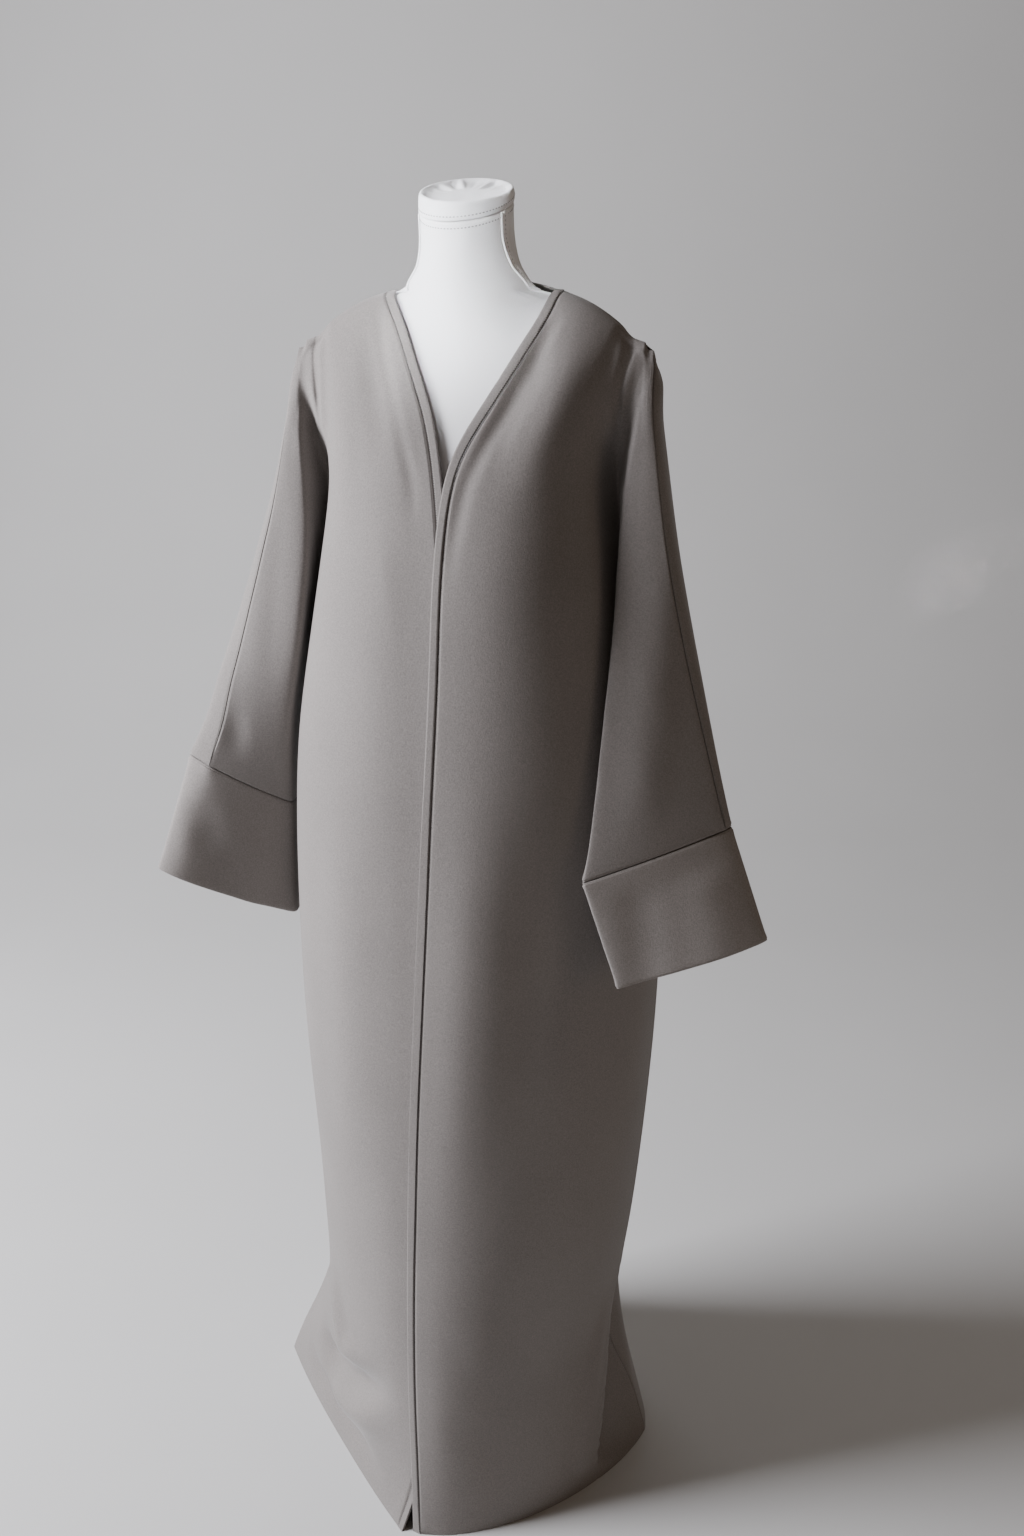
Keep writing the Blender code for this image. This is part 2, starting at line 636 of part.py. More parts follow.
# ---------------------------------------------------------------- the fronts
def front_rows(side):
    """Body rows and sleeve rows of one front, outer face, own-side x."""
    body, sleeve = [], []
    start = BAND_WIDTH + SEAM
    for row, share in enumerate(ARM_SHARES):
        size = min(1.0, TIP_SIZE + share * TIP_GROWTH)
        corners = sleeve_corners(side, share)
        if row <= SLIT_ROW:
            path = front_path(side, share)
            path[:, 1] -= 0.5 * SEAM
            turn = min(VALLEY_ROUND * size, ROW_END * length(path))
            stops = np.linspace(start, length(path) - turn, FRONT_STEPS + 1)
            floor, corners["leave"] = valley_turn(path[-1], -1.0, size, share)
            corners["start"] = floor
            body.append(walk(path, stops) + [floor])
            sleeve.append(sleeve_front(side, corners, size))
        else:
            corners["start"] = underarm_point(side, share)
            edge = corners["start"] + unit(corners["fold"] - corners["start"]) * 0.5 * SEAM
            sleeve.append([edge] + sleeve_front(side, corners, 1.0))
    for height in SKIRT_HEIGHTS:
        path = skirt_path(side, height * MM)
        last = length(path) - VALLEY_ROUND * 0.5
        stops = list(np.linspace(start, last, FRONT_STEPS + 1))
        stops.append(length(path) - 0.5 * SEAM)
        body.append(walk(path, stops))
    return body, sleeve


def fit_seams(rows, row, toward):
    """Pull one row of points half a seam away from the seam it lies on."""
    rows[row] = [p + unit(q - p) * 0.5 * SEAM for p, q in zip(rows[row], rows[toward])]


def make_panel_sheet(side, body, sleeve, flip):
    sheet = Sheet()
    valley = len(body[0]) - 1
    add_panel(sheet, side, body, sleeve, flip, valley, "")
    return sheet


def add_panel(sheet, side, body, sleeve, flip, valley, prefix):
    """Body columns 0..valley and, from the valley on, the sleeve columns."""
    for r, points in enumerate(body):
        for c, point in enumerate(points):
            name = (prefix, "body", r, c)
            if name not in sheet.names:
                under_neck = prefix and c < NECK_STEPS
                sheet.put(name, hand(side, point), r == 0 and not under_neck)
    sheet.underarm.append(sheet.names[(prefix, "body", SLIT_ROW, valley)])
    for r, points in enumerate(sleeve):
        first = 1 if r > SLIT_ROW else 0
        for c, point in enumerate(points[first:]):
            sheet.put((prefix, "sleeve", r, c + 1), hand(side, point), r == 0)
        if r > SLIT_ROW:
            sheet.put((prefix, "sleeve", r, 0), hand(side, points[0]))
        else:
            sheet.names[(prefix, "sleeve", r, 0)] = sheet.names[(prefix, "body", r, valley)]
    for part, rows in (("body", body), ("sleeve", sleeve)):
        count = valley if part == "body" else len(sleeve[0])
        for r in range(len(rows) - 1):
            for c in range(count):
                sheet.quad((prefix, part, r, c), (prefix, part, r + 1, c),
                           (prefix, part, r + 1, c + 1), (prefix, part, r, c + 1), flip)


def make_front(side, material):
    body, sleeve = front_rows(side)
    fit_seams(sleeve, -1, -2)
    sheet = make_panel_sheet(side, body, sleeve, side == "right")
    return ("front_" + side, sheet, WALL, 0.0, material)


def make_band(side, material):
    """Edge band of one front, from the shoulder seam to the floor."""
    paths = [front_path(side, share) for share in ARM_SHARES[:SLIT_ROW + 1]]
    paths += [skirt_path(side, height * MM) for height in SKIRT_HEIGHTS]
    sheet = Sheet()
    stops = (0.0, 0.5 * BAND_WIDTH, BAND_WIDTH)
    for r, path in enumerate(paths):
        if r <= SLIT_ROW:
            path[:, 1] -= 0.5 * SEAM
        for c, point in enumerate(walk(path, stops)):
            sheet.put((r, c), hand(side, point), r == 0)
    for r in range(len(paths) - 1):
        for c in range(2):
            sheet.quad((r, c), (r + 1, c), (r + 1, c + 1), (r, c + 1), side == "right")
    return ("band_" + side, sheet, BAND_WALL, BAND_RAISE, material)


# ------------------------------------------------------------------ the back
def back_rows(side):
    """Half rows of the back, centre to valley, and its half of the sleeve."""
    body, sleeve = [], []
    inner = neck_seam(0.0, BAND_WIDTH + SEAM)[0]
    for row, share in enumerate(ARM_SHARES):
        size = min(1.0, TIP_SIZE + share * TIP_GROWTH)
        corners = sleeve_corners(side, share)
        if row <= SLIT_ROW:
            path = back_path(side, share)
            path[:, 1] += 0.5 * SEAM
            turn = min(VALLEY_ROUND * size, ROW_END * length(path))
            runs = np.concatenate([[0.0], np.cumsum(np.linalg.norm(np.diff(path, axis=0), axis=1))])
            under_neck = float(np.interp(inner, path[:, 0], runs))
            even = (length(path) - turn) * NECK_STEPS / BACK_STEPS
            under_neck = blend(under_neck, even, ease(share / NECK_ROWS_EVEN))
            stops = list(np.linspace(0.0, under_neck, NECK_STEPS + 1))
            stops += list(np.linspace(under_neck, length(path) - turn,
                                      BACK_STEPS - NECK_STEPS + 1))[1:]
            points = walk(path, stops)
            if row == 0:
                for c in range(NECK_STEPS + 1):
                    angle = 0.5 * math.pi * (1.0 - c / NECK_STEPS)
                    points[c] = neck_seam(angle, BAND_WIDTH + SEAM)
                points[NECK_STEPS][1] += 0.5 * SEAM
            floor, corners["leave"] = valley_turn(path[-1], 1.0, size, share)
            corners["start"] = floor
            body.append(points + [floor])
            sleeve.append(sleeve_back(corners, size))
        else:
            corners["start"] = underarm_point(side, share)
            edge = corners["start"] + unit(corners["rear"] - corners["start"]) * 0.5 * SEAM
            sleeve.append([edge] + sleeve_back(corners, 1.0))
    for height in SKIRT_HEIGHTS:
        path = back_skirt_path(side, height * MM)
        last = length(path) - VALLEY_ROUND * 0.5
        stops = list(np.linspace(0.0, last, BACK_STEPS + 1))
        stops.append(length(path) - 0.5 * SEAM)
        body.append(walk(path, stops))
    return body, sleeve


def make_back(material):
    sheet = Sheet()
    for side in ("left", "right"):
        body, sleeve = back_rows(side)
        fit_seams(sleeve, -1, -2)
        valley = len(body[0]) - 1
        if side == "right":
            for r in range(len(body)):
                sheet.names[("right", "body", r, 0)] = sheet.names[("left", "body", r, 0)]
        add_panel(sheet, side, body, sleeve, side == "left", valley, side)
    return ("back", sheet, WALL, 0.0, material)


def make_neck_band(material):
    """Back neck band between the two shoulder seams."""
    sheet = Sheet()
    steps = 2 * NECK_STEPS
    for r in range(steps + 1):
        turn = math.pi * r / steps
        angle = min(turn, math.pi - turn)
        side = "left" if turn <= 0.5 * math.pi else "right"
        for c, width in enumerate((0.0, 0.5 * BAND_WIDTH, BAND_WIDTH)):
            point = neck_seam(angle, width)
            if r in (0, steps):
                point[1] += 0.5 * SEAM
            sheet.put((r, c), hand(side, point), r in (0, steps))
    for r in range(steps):
        for c in range(2):
            sheet.quad((r, c), (r, c + 1), (r + 1, c + 1), (r + 1, c), False)
    return ("band_back_neck", sheet, BAND_WALL, BAND_RAISE, material)


# ----------------------------------------------------------------- the cuffs
def ring_of(side, corners):
    """Closed section through five corners: front half, then back half."""
    front = sleeve_front(side, corners, 1.0)
    back = sleeve_back(corners, 1.0)
    return [corners["start"]] + front[:-1] + [corners["seam"]] + back[-2::-1]


def make_cuff(side, material):
    top = sleeve_corners(side, 1.0)
    top["start"] = underarm_point(side, 1.0)
    hem = {name: np.array(CUFF_HEM[side][name], float) * MM
           for name in ("fold", "seam", "outer", "rear")}
    hem["start"] = np.array(CUFF_HEM[side]["underarm"], float) * MM
    first = ring_of(side, top)
    last = ring_of(side, hem)
    first = [p + unit(q - p) * CUFF_SEAM * SEAM for p, q in zip(first, last)]
    sheet = Sheet()
    for r in range(CUFF_ROWS + 1):
        for c, (p, q) in enumerate(zip(first, last)):
            sheet.put((r, c), hand(side, blend(p, q, r / CUFF_ROWS)))
    count = len(first)
    for r in range(CUFF_ROWS):
        for c in range(count):
            d = (c + 1) % count
            sheet.quad((r, c), (r + 1, c), (r + 1, d), (r, d), side == "right")
    return ("cuff_" + side, sheet, CUFF_WALL, 0.0, material)


# ------------------------------------------------------------ the dress form
def loft(name, rings, material):
    """Skin closed rings of equal count and cap both ends with a fan."""
    mesh = bmesh.new()
    loops = [[mesh.verts.new(p) for p in ring] for ring in rings]
    count = len(loops[0])
    for low, high in zip(loops, loops[1:]):
        for i in range(count):
            j = (i + 1) % count
            mesh.faces.new([low[i], low[j], high[j], high[i]])
    for loop, last in ((loops[0], False), (loops[-1], True)):
        centre = mesh.verts.new(sum((np.array(v.co) for v in loop), np.zeros(3)) / count)
        for i in range(count):
            j = (i + 1) % count
            mesh.faces.new([loop[i], loop[j], centre] if last else [loop[j], loop[i], centre])
    return finish_object(name, mesh, material)


def oval_ring(half_width, front, back, power, height, lean):
    ring = []
    for i in range(FORM_SIDES):
        angle = 2.0 * math.pi * i / FORM_SIDES
        across, along = math.cos(angle), math.sin(angle)
        x = half_width * math.copysign(abs(across) ** (2.0 / power), across)
        depth = back if along > 0.0 else front
        y = depth * math.copysign(abs(along) ** (2.0 / power), along)
        ring.append((x, y - lean, height))
    return ring


def shoulder_ring(height):
    """Level ring through neck and shoulders, kept under the cloth."""
    neck = smooth_lookup([row[0] for row in NECK_PROFILE],
                         [row[1] for row in NECK_PROFILE], height / MM) * MM
    reach = neck
    step = 0.5 * MM
    while (reach < SHOULDER_TIP[0] - FORM_TIP_CLEAR
           and ridge_height(reach + step) - FORM_CLEAR_TOP > height):
        reach += step
    if height < FORM_CREASE_TOP:
        width = column(BODY_SECTIONS, BODY_COLUMNS, "left_width", height) * MM
        reach = min(reach, width * FORM_CREASE_SHARE - FORM_SIDE_CLEAR)
    lean = NECK_TOP_LEAN * max(height - NECK_LEAN_FROM, 0.0) / (NECK_TOP - NECK_LEAN_FROM)
    ring = []
    for i in range(FORM_SIDES):
        angle = 2.0 * math.pi * i / FORM_SIDES
        x = reach * math.copysign(abs(math.cos(angle)) ** FORM_SPREAD, math.cos(angle))
        facing = math.sin(angle)
        throat = 0.0
        if abs(x) < neck:
            throat = NECK_DEPTH * math.sqrt(1.0 - (x / neck) ** 2) * ease(
                (height - CHEST_LEVEL) / (NECK_LEAN_FROM - CHEST_LEVEL))
        name = "back_depth" if facing > 0.0 else "left_depth"
        full = column(BODY_SECTIONS, BODY_COLUMNS, name, height) * MM - FORM_CLEAR
        hull = full * ((1.0 - min(abs(x) / reach, 1.0) ** FORM_CORNER)
                       ** (1.0 / FORM_CORNER))
        turn = wrap(abs(x), height + FORM_CLEAR_TOP)
        depth = (throat ** 4 + (hull * turn) ** 4) ** 0.25
        y = math.copysign(depth, facing) + ridge_depth(abs(x)) * (1.0 - turn) - lean
        point = (x, y, height)
        ring.append(tilted(point, ease((height - NECK_LEAN_FROM) / (NECK_TOP - NECK_LEAN_FROM))))
    return ring


def make_form(jersey):
    rings = []
    for height, half_width, front, back, power in reversed(FORM_SECTIONS):
        rings.append(oval_ring(half_width * MM, front * MM, back * MM, power,
                               height * MM, 0.0))
    for height in FORM_HEIGHTS:
        rings.append(shoulder_ring(height * MM))
    return loft("form_torso", rings, jersey)


def tilted(point, share):
    """Tip a point of the neck forward about the axis across its top."""
    angle = CAP_TILT * share
    y = point[1] + NECK_TOP_LEAN
    z = point[2]
    return (point[0], y * math.cos(angle) - NECK_TOP_LEAN,
            z + y * math.sin(angle))


def make_cap(jersey):
    """Cloth-covered cap on the neck: a dished disc with a rolled rim."""
    rings = []
    for share, rise in CAP_SHAPE:
        ring = []
        for i in range(FORM_SIDES):
            angle = 2.0 * math.pi * i / FORM_SIDES
            x = CAP_HALF_WIDTH * share * math.cos(angle)
            y = CAP_HALF_DEPTH * share * math.sin(angle) - NECK_TOP_LEAN
            ring.append(tilted((x, y, NECK_TOP + SEAM / math.cos(CAP_TILT) + rise * MM), 1.0))
        rings.append(ring)
    return loft("form_neck_cap", rings, jersey)


def turned(name, profile, sides, material):
    """A round piece from its (radius, height) outline, bottom to top."""
    rings = []
    for radius, height in profile:
        rings.append([(radius * math.cos(2.0 * math.pi * i / sides),
                       radius * math.sin(2.0 * math.pi * i / sides), height)
                      for i in range(sides)])
    return loft(name, rings, material)


def make_stand(pole_steel, base_steel):
    base = ((BASE_RADIUS, 0.0), (BASE_RADIUS, BASE_THICK - BASE_EDGE),
            (BASE_RADIUS - BASE_EDGE, BASE_THICK))
    turned("form_base", base, BASE_SIDES, base_steel)
    top = FORM_SECTIONS[-1][0] * MM - SEAM
    pole = ((POLE_RADIUS, BASE_THICK + SEAM), (POLE_RADIUS, top))
    turned("form_pole", pole, POLE_SIDES, pole_steel)


def clear_scene():
    for thing in list(bpy.data.objects):
        bpy.data.objects.remove(thing, do_unlink=True)


def main():
    clear_scene()
    pieces = [make_back(make_material("crepe_back", CLOTH_COLOUR, CLOTH_ROUGHNESS, 0.0)),
              make_neck_band(make_material("crepe_neck_band", CLOTH_COLOUR, CLOTH_ROUGHNESS, 0.0))]
    for side in ("left", "right"):
        pieces.append(make_front(side, make_material("crepe_front_" + side,
                                                     CLOTH_COLOUR, CLOTH_ROUGHNESS, 0.0)))
        pieces.append(make_band(side, make_material("crepe_band_" + side,
                                                    CLOTH_COLOUR, CLOTH_ROUGHNESS, 0.0)))
        pieces.append(make_cuff(side, make_material("crepe_cuff_" + side,
                                                    CLOTH_COLOUR, CLOTH_ROUGHNESS, 0.0)))
    cloth_walls(pieces)
    make_form(make_material("jersey_torso", JERSEY_COLOUR, JERSEY_ROUGHNESS, 0.0))
    make_cap(make_material("jersey_cap", JERSEY_COLOUR, JERSEY_ROUGHNESS, 0.0))
    make_stand(make_material("steel_pole", STEEL_COLOUR, STEEL_ROUGHNESS, 1.0),
               make_material("steel_base", STEEL_COLOUR, STEEL_ROUGHNESS, 1.0))


main()
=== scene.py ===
# %% [markdown]
# # An abaya cloak on a limbless dress form
#
# This lesson dresses a plain solid model in cloth that looks worn.  The solid
# model has the garment's true shape: two fronts and a back with half sleeves
# grown on, deep cuffs, narrow edge bands, and a white dress form inside.  It
# lacks what a tailor would notice: soft rolls beside the seams, creases at the
# hem, stitches, the nap of the cloth, and the form's sewn cover.  Every piece
# below is laid over its solid, so nothing has to be fitted by eye.

# %% Load the solid model
import json
import math

import bmesh
import bpy
import numpy as np
from mathutils import Matrix, Vector, noise
from mathutils.bvhtree import BVHTree

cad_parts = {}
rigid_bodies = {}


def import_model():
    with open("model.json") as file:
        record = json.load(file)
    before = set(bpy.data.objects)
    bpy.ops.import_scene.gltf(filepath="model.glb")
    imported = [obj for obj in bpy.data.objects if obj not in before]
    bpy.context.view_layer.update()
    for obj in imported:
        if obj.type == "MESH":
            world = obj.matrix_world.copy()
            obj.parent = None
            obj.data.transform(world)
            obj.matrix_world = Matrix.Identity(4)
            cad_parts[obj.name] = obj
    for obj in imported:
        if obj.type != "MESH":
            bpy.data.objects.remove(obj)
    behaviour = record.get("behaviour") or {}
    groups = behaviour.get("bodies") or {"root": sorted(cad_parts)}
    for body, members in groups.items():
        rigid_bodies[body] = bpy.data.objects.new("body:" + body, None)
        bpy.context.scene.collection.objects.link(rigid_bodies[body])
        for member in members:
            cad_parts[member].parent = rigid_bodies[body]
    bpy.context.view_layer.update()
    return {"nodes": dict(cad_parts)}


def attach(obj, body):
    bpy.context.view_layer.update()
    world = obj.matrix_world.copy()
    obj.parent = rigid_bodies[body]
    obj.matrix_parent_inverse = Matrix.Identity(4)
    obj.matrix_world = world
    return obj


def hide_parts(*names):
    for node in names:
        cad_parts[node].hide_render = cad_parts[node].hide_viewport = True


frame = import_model()
nodes = frame["nodes"]
MM = 0.001  # one millimetre in the frame's metres
print("solids:", ", ".join(sorted(nodes)))

# %% [markdown]
# ## Shader maths as plain arithmetic
#
# A material is a small program built from nodes.  Linking Math nodes by hand
# hides the idea behind the wiring, so one class wraps a socket and lets the
# usual operators add the Math nodes.  Every other node comes from one method.

# %% A socket that can be added, multiplied and so on
class Wire:
    """An output socket of a finish's node tree, with arithmetic."""

    def __init__(self, finish, socket):
        self.finish = finish
        self.socket = socket

    def maths(self, operation, first, second):
        return self.finish.node("ShaderNodeMath", {"operation": operation},
                                {0: first, 1: second})

    def __add__(self, other):
        return self.maths("ADD", self, other)

    def __mul__(self, other):
        return self.maths("MULTIPLY", self, other)

    def __sub__(self, other):
        return self.maths("SUBTRACT", self, other)

    def __rsub__(self, other):
        return self.maths("SUBTRACT", other, self)

    __radd__ = __add__
    __rmul__ = __mul__


class Finish:
    """A material being made, starting from its Principled shader."""

    def __init__(self, name, **constants):
        self.material = bpy.data.materials.new(name)
        self.material.use_nodes = True
        self.tree = self.material.node_tree
        self.shader = self.tree.nodes["Principled BSDF"]
        for socket, value in constants.items():
            self.shader.inputs[socket.replace("_", " ")].default_value = value

    def node(self, kind, settings=None, inputs=None, output=0):
        made = self.tree.nodes.new(kind)
        for name, value in (settings or {}).items():
            setattr(made, name, value)
        for name, value in (inputs or {}).items():
            if isinstance(value, Wire):
                self.tree.links.new(value.socket, made.inputs[name])
            else:
                made.inputs[name].default_value = value
        return Wire(self, made.outputs[output])

    def feed(self, socket, wire):
        self.tree.links.new(wire.socket, self.shader.inputs[socket])

    def place(self):
        return self.node("ShaderNodeTexCoord", output="Object")

    def grain(self, scale, detail=2.0):
        """Soft noise of about one blob per 1/scale metres, 0 to 1."""
        blobs = {"Vector": self.place(), "Scale": scale, "Detail": detail}
        return self.node("ShaderNodeTexNoise", None, blobs)

    def tint(self, amount, dark, light):
        return self.node("ShaderNodeMix", {"data_type": "RGBA"},
                         {0: amount, 6: dark, 7: light}, output=2)

    def relief(self, height, distance, strength):
        bump = {"Height": height, "Distance": distance, "Strength": strength}
        self.feed("Normal", self.node("ShaderNodeBump", None, bump))


def two_tone(name, scale, detail, dark, light, **constants):
    """A material whose colour only wanders between two tones."""
    finish = Finish(name, **constants)
    finish.feed("Base Color", finish.tint(finish.grain(scale, detail), dark, light))
    return finish.material


def put_on(piece, material):
    """Give a piece this material and no other."""
    piece.data.materials.clear()
    piece.data.materials.append(material)


# %% [markdown]
# ## The crepe
#
# The cloak's cloth is a heavy crepe with a short nap: no weave shows, only a
# fine pebble grain and a soft bloom where light grazes it.  A woven pattern
# texture would look too regular.  Two sizes of noise give the grain, a much
# larger one lets the colour drift slightly, and the shader's sheen gives the
# bloom.  Sheen is the same everywhere, so it stays a constant on the shader.

# %% Crepe and its thread
CREPE_COLOUR = (0.215, 0.198, 0.188)
PITS, TOPS = 0.66, 1.34  # the grain's low and high spots, as shares of the colour
PEBBLE, NAP, DRIFT, TWIST = 620.0, 2300.0, 9.0, 1500.0  # blobs of noise in a metre


def crepe(name, tone=1.0):
    finish = Finish(name, Roughness=0.82, Sheen_Weight=0.22, Sheen_Roughness=0.45,
                    Specular_IOR_Level=0.25)
    pebble = finish.grain(PEBBLE)
    nap = finish.grain(NAP, 1.0)
    drift = finish.grain(DRIFT, 1.0)
    amount = pebble * 1.1 + nap * 0.5 + drift * 0.25 - 0.42  # about a half
    dark = [channel * tone * PITS for channel in CREPE_COLOUR] + [1.0]
    light = [channel * tone * TOPS for channel in CREPE_COLOUR] + [1.0]
    finish.feed("Base Color", finish.tint(amount, dark, light))
    finish.feed("Roughness", 0.74 + pebble * 0.16)
    finish.relief(pebble * 0.7 + nap * 0.3, 0.5 * MM, 0.55)
    return finish.material


panel_crepe = crepe("crepe_panel")
band_crepe = crepe("crepe_band", 0.97)
# painted light: the cuffs' crepe is made 1.2 times as light as the panels' to stand in for the
# light the cuffs catch
cuff_crepe_painted_light = crepe("crepe_cuff", 1.2)
# the stitch thread is near black: painted shade of the holes and the ditch the stitches sit in
thread_painted_shade = two_tone("crepe_thread", TWIST, 1.0, (0.010, 0.009, 0.008, 1.0),
                  (0.030, 0.026, 0.023, 1.0), Roughness=0.6, Sheen_Weight=0.1)
print("crepe finishes made")

# %% [markdown]
# ## The jersey cover and the steel
#
# The form wears a white cotton jersey.  Its knit is finer than a millimetre,
# so modelled loops would never show: it is relief only, with a trace of shade
# in the colour.  The stand is satin steel with fine grinding marks round it,
# which are the same noise stretched sideways.

# %% Jersey, its thread and steel
KNIT, SMUDGE, COTTON_TWIST = 900.0, 14.0, 1200.0  # blobs of noise in a metre
SHADED = 0.93  # the white's share in the knit's hollows
GRINDING = (30.0, 30.0, 900.0)  # marks in a metre: long round the stand, fine up it


def jersey(name, white):
    finish = Finish(name, Roughness=0.85, Sheen_Weight=0.12, Specular_IOR_Level=0.3)
    knit = finish.grain(KNIT)
    smudge = finish.grain(SMUDGE)
    amount = knit * 0.5 + smudge * 0.5
    dark = [channel * SHADED for channel in white] + [1.0]
    light = list(white) + [1.0]
    finish.feed("Base Color", finish.tint(amount, dark, light))
    finish.feed("Roughness", 0.8 + knit * 0.1)
    finish.relief(knit, 0.35 * MM, 0.45)
    return finish.material


white_jersey = jersey("jersey_cover", (0.89, 0.895, 0.91))
white_tape = jersey("jersey_tape", (0.91, 0.915, 0.93))
# the stitch thread is grey: painted shade of the holes the stitches sit in
cotton_painted_shade = two_tone("jersey_thread", COTTON_TWIST, 2.0, (0.30, 0.30, 0.31, 1.0),
                  (0.40, 0.40, 0.41, 1.0), Roughness=0.7)
steel = Finish("satin_steel", Metallic=1.0)
stretched = steel.node("ShaderNodeMapping", None,
                       {"Vector": steel.place(), "Scale": GRINDING})
marks = steel.node("ShaderNodeTexNoise", None,
                   {"Vector": stretched, "Scale": 1.0, "Detail": 3.0})
steel.feed("Base Color", steel.tint(marks, (0.46, 0.47, 0.48, 1.0), (0.60, 0.61, 0.62, 1.0)))
steel.feed("Roughness", 0.28 + marks * 0.16)
steel.relief(marks, 0.05 * MM, 0.3)
for node in ("form_pole", "form_base"):
    put_on(nodes[node], steel.material)
print("jersey and steel made")

# %% [markdown]
# ## Cut edges that roll
#
# Cloth turned under at a seam rolls down into it.  Bevelling the finished mesh
# would round both sides alike, so the roll is made while the mesh is coarse:
# the outer skin gets a narrow row of faces along its border, which sinks.

# %% Find the cut edges and roll the skin into them
ROLL_WIDTH = 3.2 * MM  # the cloth rolls over this far beside a cut edge
ROLL_REACH = 0.4  # or over this share of a narrower face
SET_BACK = 0.7 * MM  # the skin's edge stands back this far from the cut
SET_BACK_REACH = 0.3  # or this share of the roll
FLOOR_LEVEL = 1.0 * MM  # what lies lower stands on the floor
WALL_MATCH = 0.0005 * MM  # an edge this near the wall's thickness goes through it
NO_LENGTH = 1e-7  # a shorter edge has only just been made
CORNER_TURN = math.radians(35.0)
CREASED = 0.5  # an edge creased more is a cut edge


def rim_faces(shell, wall):
    """Faces of the cut edges: each has a side that goes straight through the wall."""
    return {face for edge in shell.edges if abs(edge.calc_length() - wall) < WALL_MATCH
            for face in edge.link_faces}


def joined_parts(faces):
    """The faces in connected groups, the largest area first."""
    left, parts = set(faces), []
    while left:
        part = [left.pop()]
        for face in part:
            for edge in face.edges:
                for other in edge.link_faces:
                    if other in left:
                        left.remove(other)
                        part.append(other)
        parts.append(part)
    return sorted(parts, key=lambda part: -sum(face.calc_area() for face in part))


def roll_edges(shell, skin, sink):
    """Sink the skin's border and leave a row of faces that rolls down to it."""
    inner = set(bmesh.ops.inset_region(shell, faces=skin, thickness=0.0)["faces"])
    loops = {}
    for face in inner:
        for edge in face.edges:
            if edge.calc_length() < NO_LENGTH:
                first, second = edge.verts
                low = first if any(f not in inner and f not in skin
                                   for f in first.link_faces) else second
                loops[low] = edge.other_vert(low)
    high = set(loops.values())
    steps = {}
    for vert in high:
        away = [edge.other_vert(vert).co - vert.co for edge in vert.link_edges
                if edge.other_vert(vert) not in high and edge.calc_length() > NO_LENGTH]
        if away:
            step = sum(away, Vector()) / len(away)
            steps[vert] = step * min(ROLL_WIDTH / step.length, ROLL_REACH)
    drops = {low: sum((face.normal for face in up.link_faces if face not in inner),
                      Vector()).normalized() for low, up in loops.items()}
    for vert, step in steps.items():
        vert.co += step
    for low, drop in drops.items():
        if low.co.z > FLOOR_LEVEL:
            low.co -= drop * sink
            if loops[low] in steps:
                step = steps[loops[low]]
                low.co += step * min(SET_BACK / step.length, SET_BACK_REACH)


def pin_corners(shell, sharp):
    """Keep the corners of the cut edges from being rounded off."""
    pinned = shell.verts.layers.float.new("crease_vert")
    for vert in shell.verts:
        ways = [(edge.other_vert(vert).co - vert.co).normalized()
                for edge in vert.link_edges if edge[sharp] > CREASED]
        if len(ways) > 2 or (len(ways) == 2 and (ways[0] + ways[1]).length > 0.0
                             and ways[0].angle(-ways[1]) > CORNER_TURN):
            vert[pinned] = 1.0


# %% [markdown]
# ## A smooth worn copy of each cloth solid
#
# The solids are faceted.  Real cloth is smooth between its cut edges and
# crisp at them.  Sculpting a new surface would lose the exact seams, so each
# solid is copied, its triangles are joined back into quads, and a subdivision
# surface rounds it.  The cut edges are creased first, which keeps them where
# the solid has them.

# %% Copy, join, crease, subdivide
WELD = 0.004 * MM  # points nearer than this become one
JOIN_FLAT = math.radians(40.0)  # two triangles join if they bend less
JOIN_SQUARE = math.radians(75.0)  # and the quad's corners are less askew
FOLD_ANGLE = math.radians(60.0)  # faces that meet at more keep a crisp edge


def mesh_of(name, shell):
    """The built shape as a mesh; its builder is freed."""
    mesh = bpy.data.meshes.new(name)
    shell.to_mesh(mesh)
    shell.free()
    return mesh


def in_scene(name, data):
    """A new object with this data, linked into the scene."""
    made = bpy.data.objects.new(name, data)
    bpy.context.scene.collection.objects.link(made)
    return made


def settled(draft):
    """The mesh that a draft's modifiers or bevel give it.  The draft goes."""
    mesh = bpy.data.meshes.new_from_object(
        draft.evaluated_get(bpy.context.evaluated_depsgraph_get()))
    bpy.data.objects.remove(draft)
    return mesh


def smooth_copy(node, name, levels, wall=0.0, sink=0.0):
    """Mesh object with the solid's shape, smooth between its cut edges."""
    shell = bmesh.new()
    shell.from_mesh(nodes[node].data)
    bmesh.ops.remove_doubles(shell, verts=shell.verts, dist=WELD)
    sharp = shell.edges.layers.float.new("crease_edge")
    is_rim = shell.faces.layers.int.new("rim")
    for face in rim_faces(shell, wall):
        face[is_rim] = 1
    for group in (0, 1):
        bmesh.ops.join_triangles(shell, faces=[f for f in shell.faces if f[is_rim] == group],
                                 cmp_seam=False, cmp_sharp=False,
                                 angle_face_threshold=JOIN_FLAT,
                                 angle_shape_threshold=JOIN_SQUARE)
    shell.normal_update()
    rim = {face for face in shell.faces if face[is_rim]}
    for edge in shell.edges:
        borders = len({face in rim for face in edge.link_faces}) == 2
        folded = not wall and edge.calc_face_angle() > FOLD_ANGLE
        if borders or folded:
            edge[sharp] = 1.0
    pin_corners(shell, sharp)
    if wall:
        skins = joined_parts(set(shell.faces) - rim)
        print(node, "skins", [len(skin) for skin in skins], "rim", len(rim))
        roll_edges(shell, skins[0], sink)
    coarse = in_scene(name + "_coarse", mesh_of(name + "_coarse", shell))
    rounding = coarse.modifiers.new("rounding", "SUBSURF")
    rounding.levels = rounding.render_levels = levels
    dense = settled(coarse)
    dense.name = name
    return in_scene(name, dense)


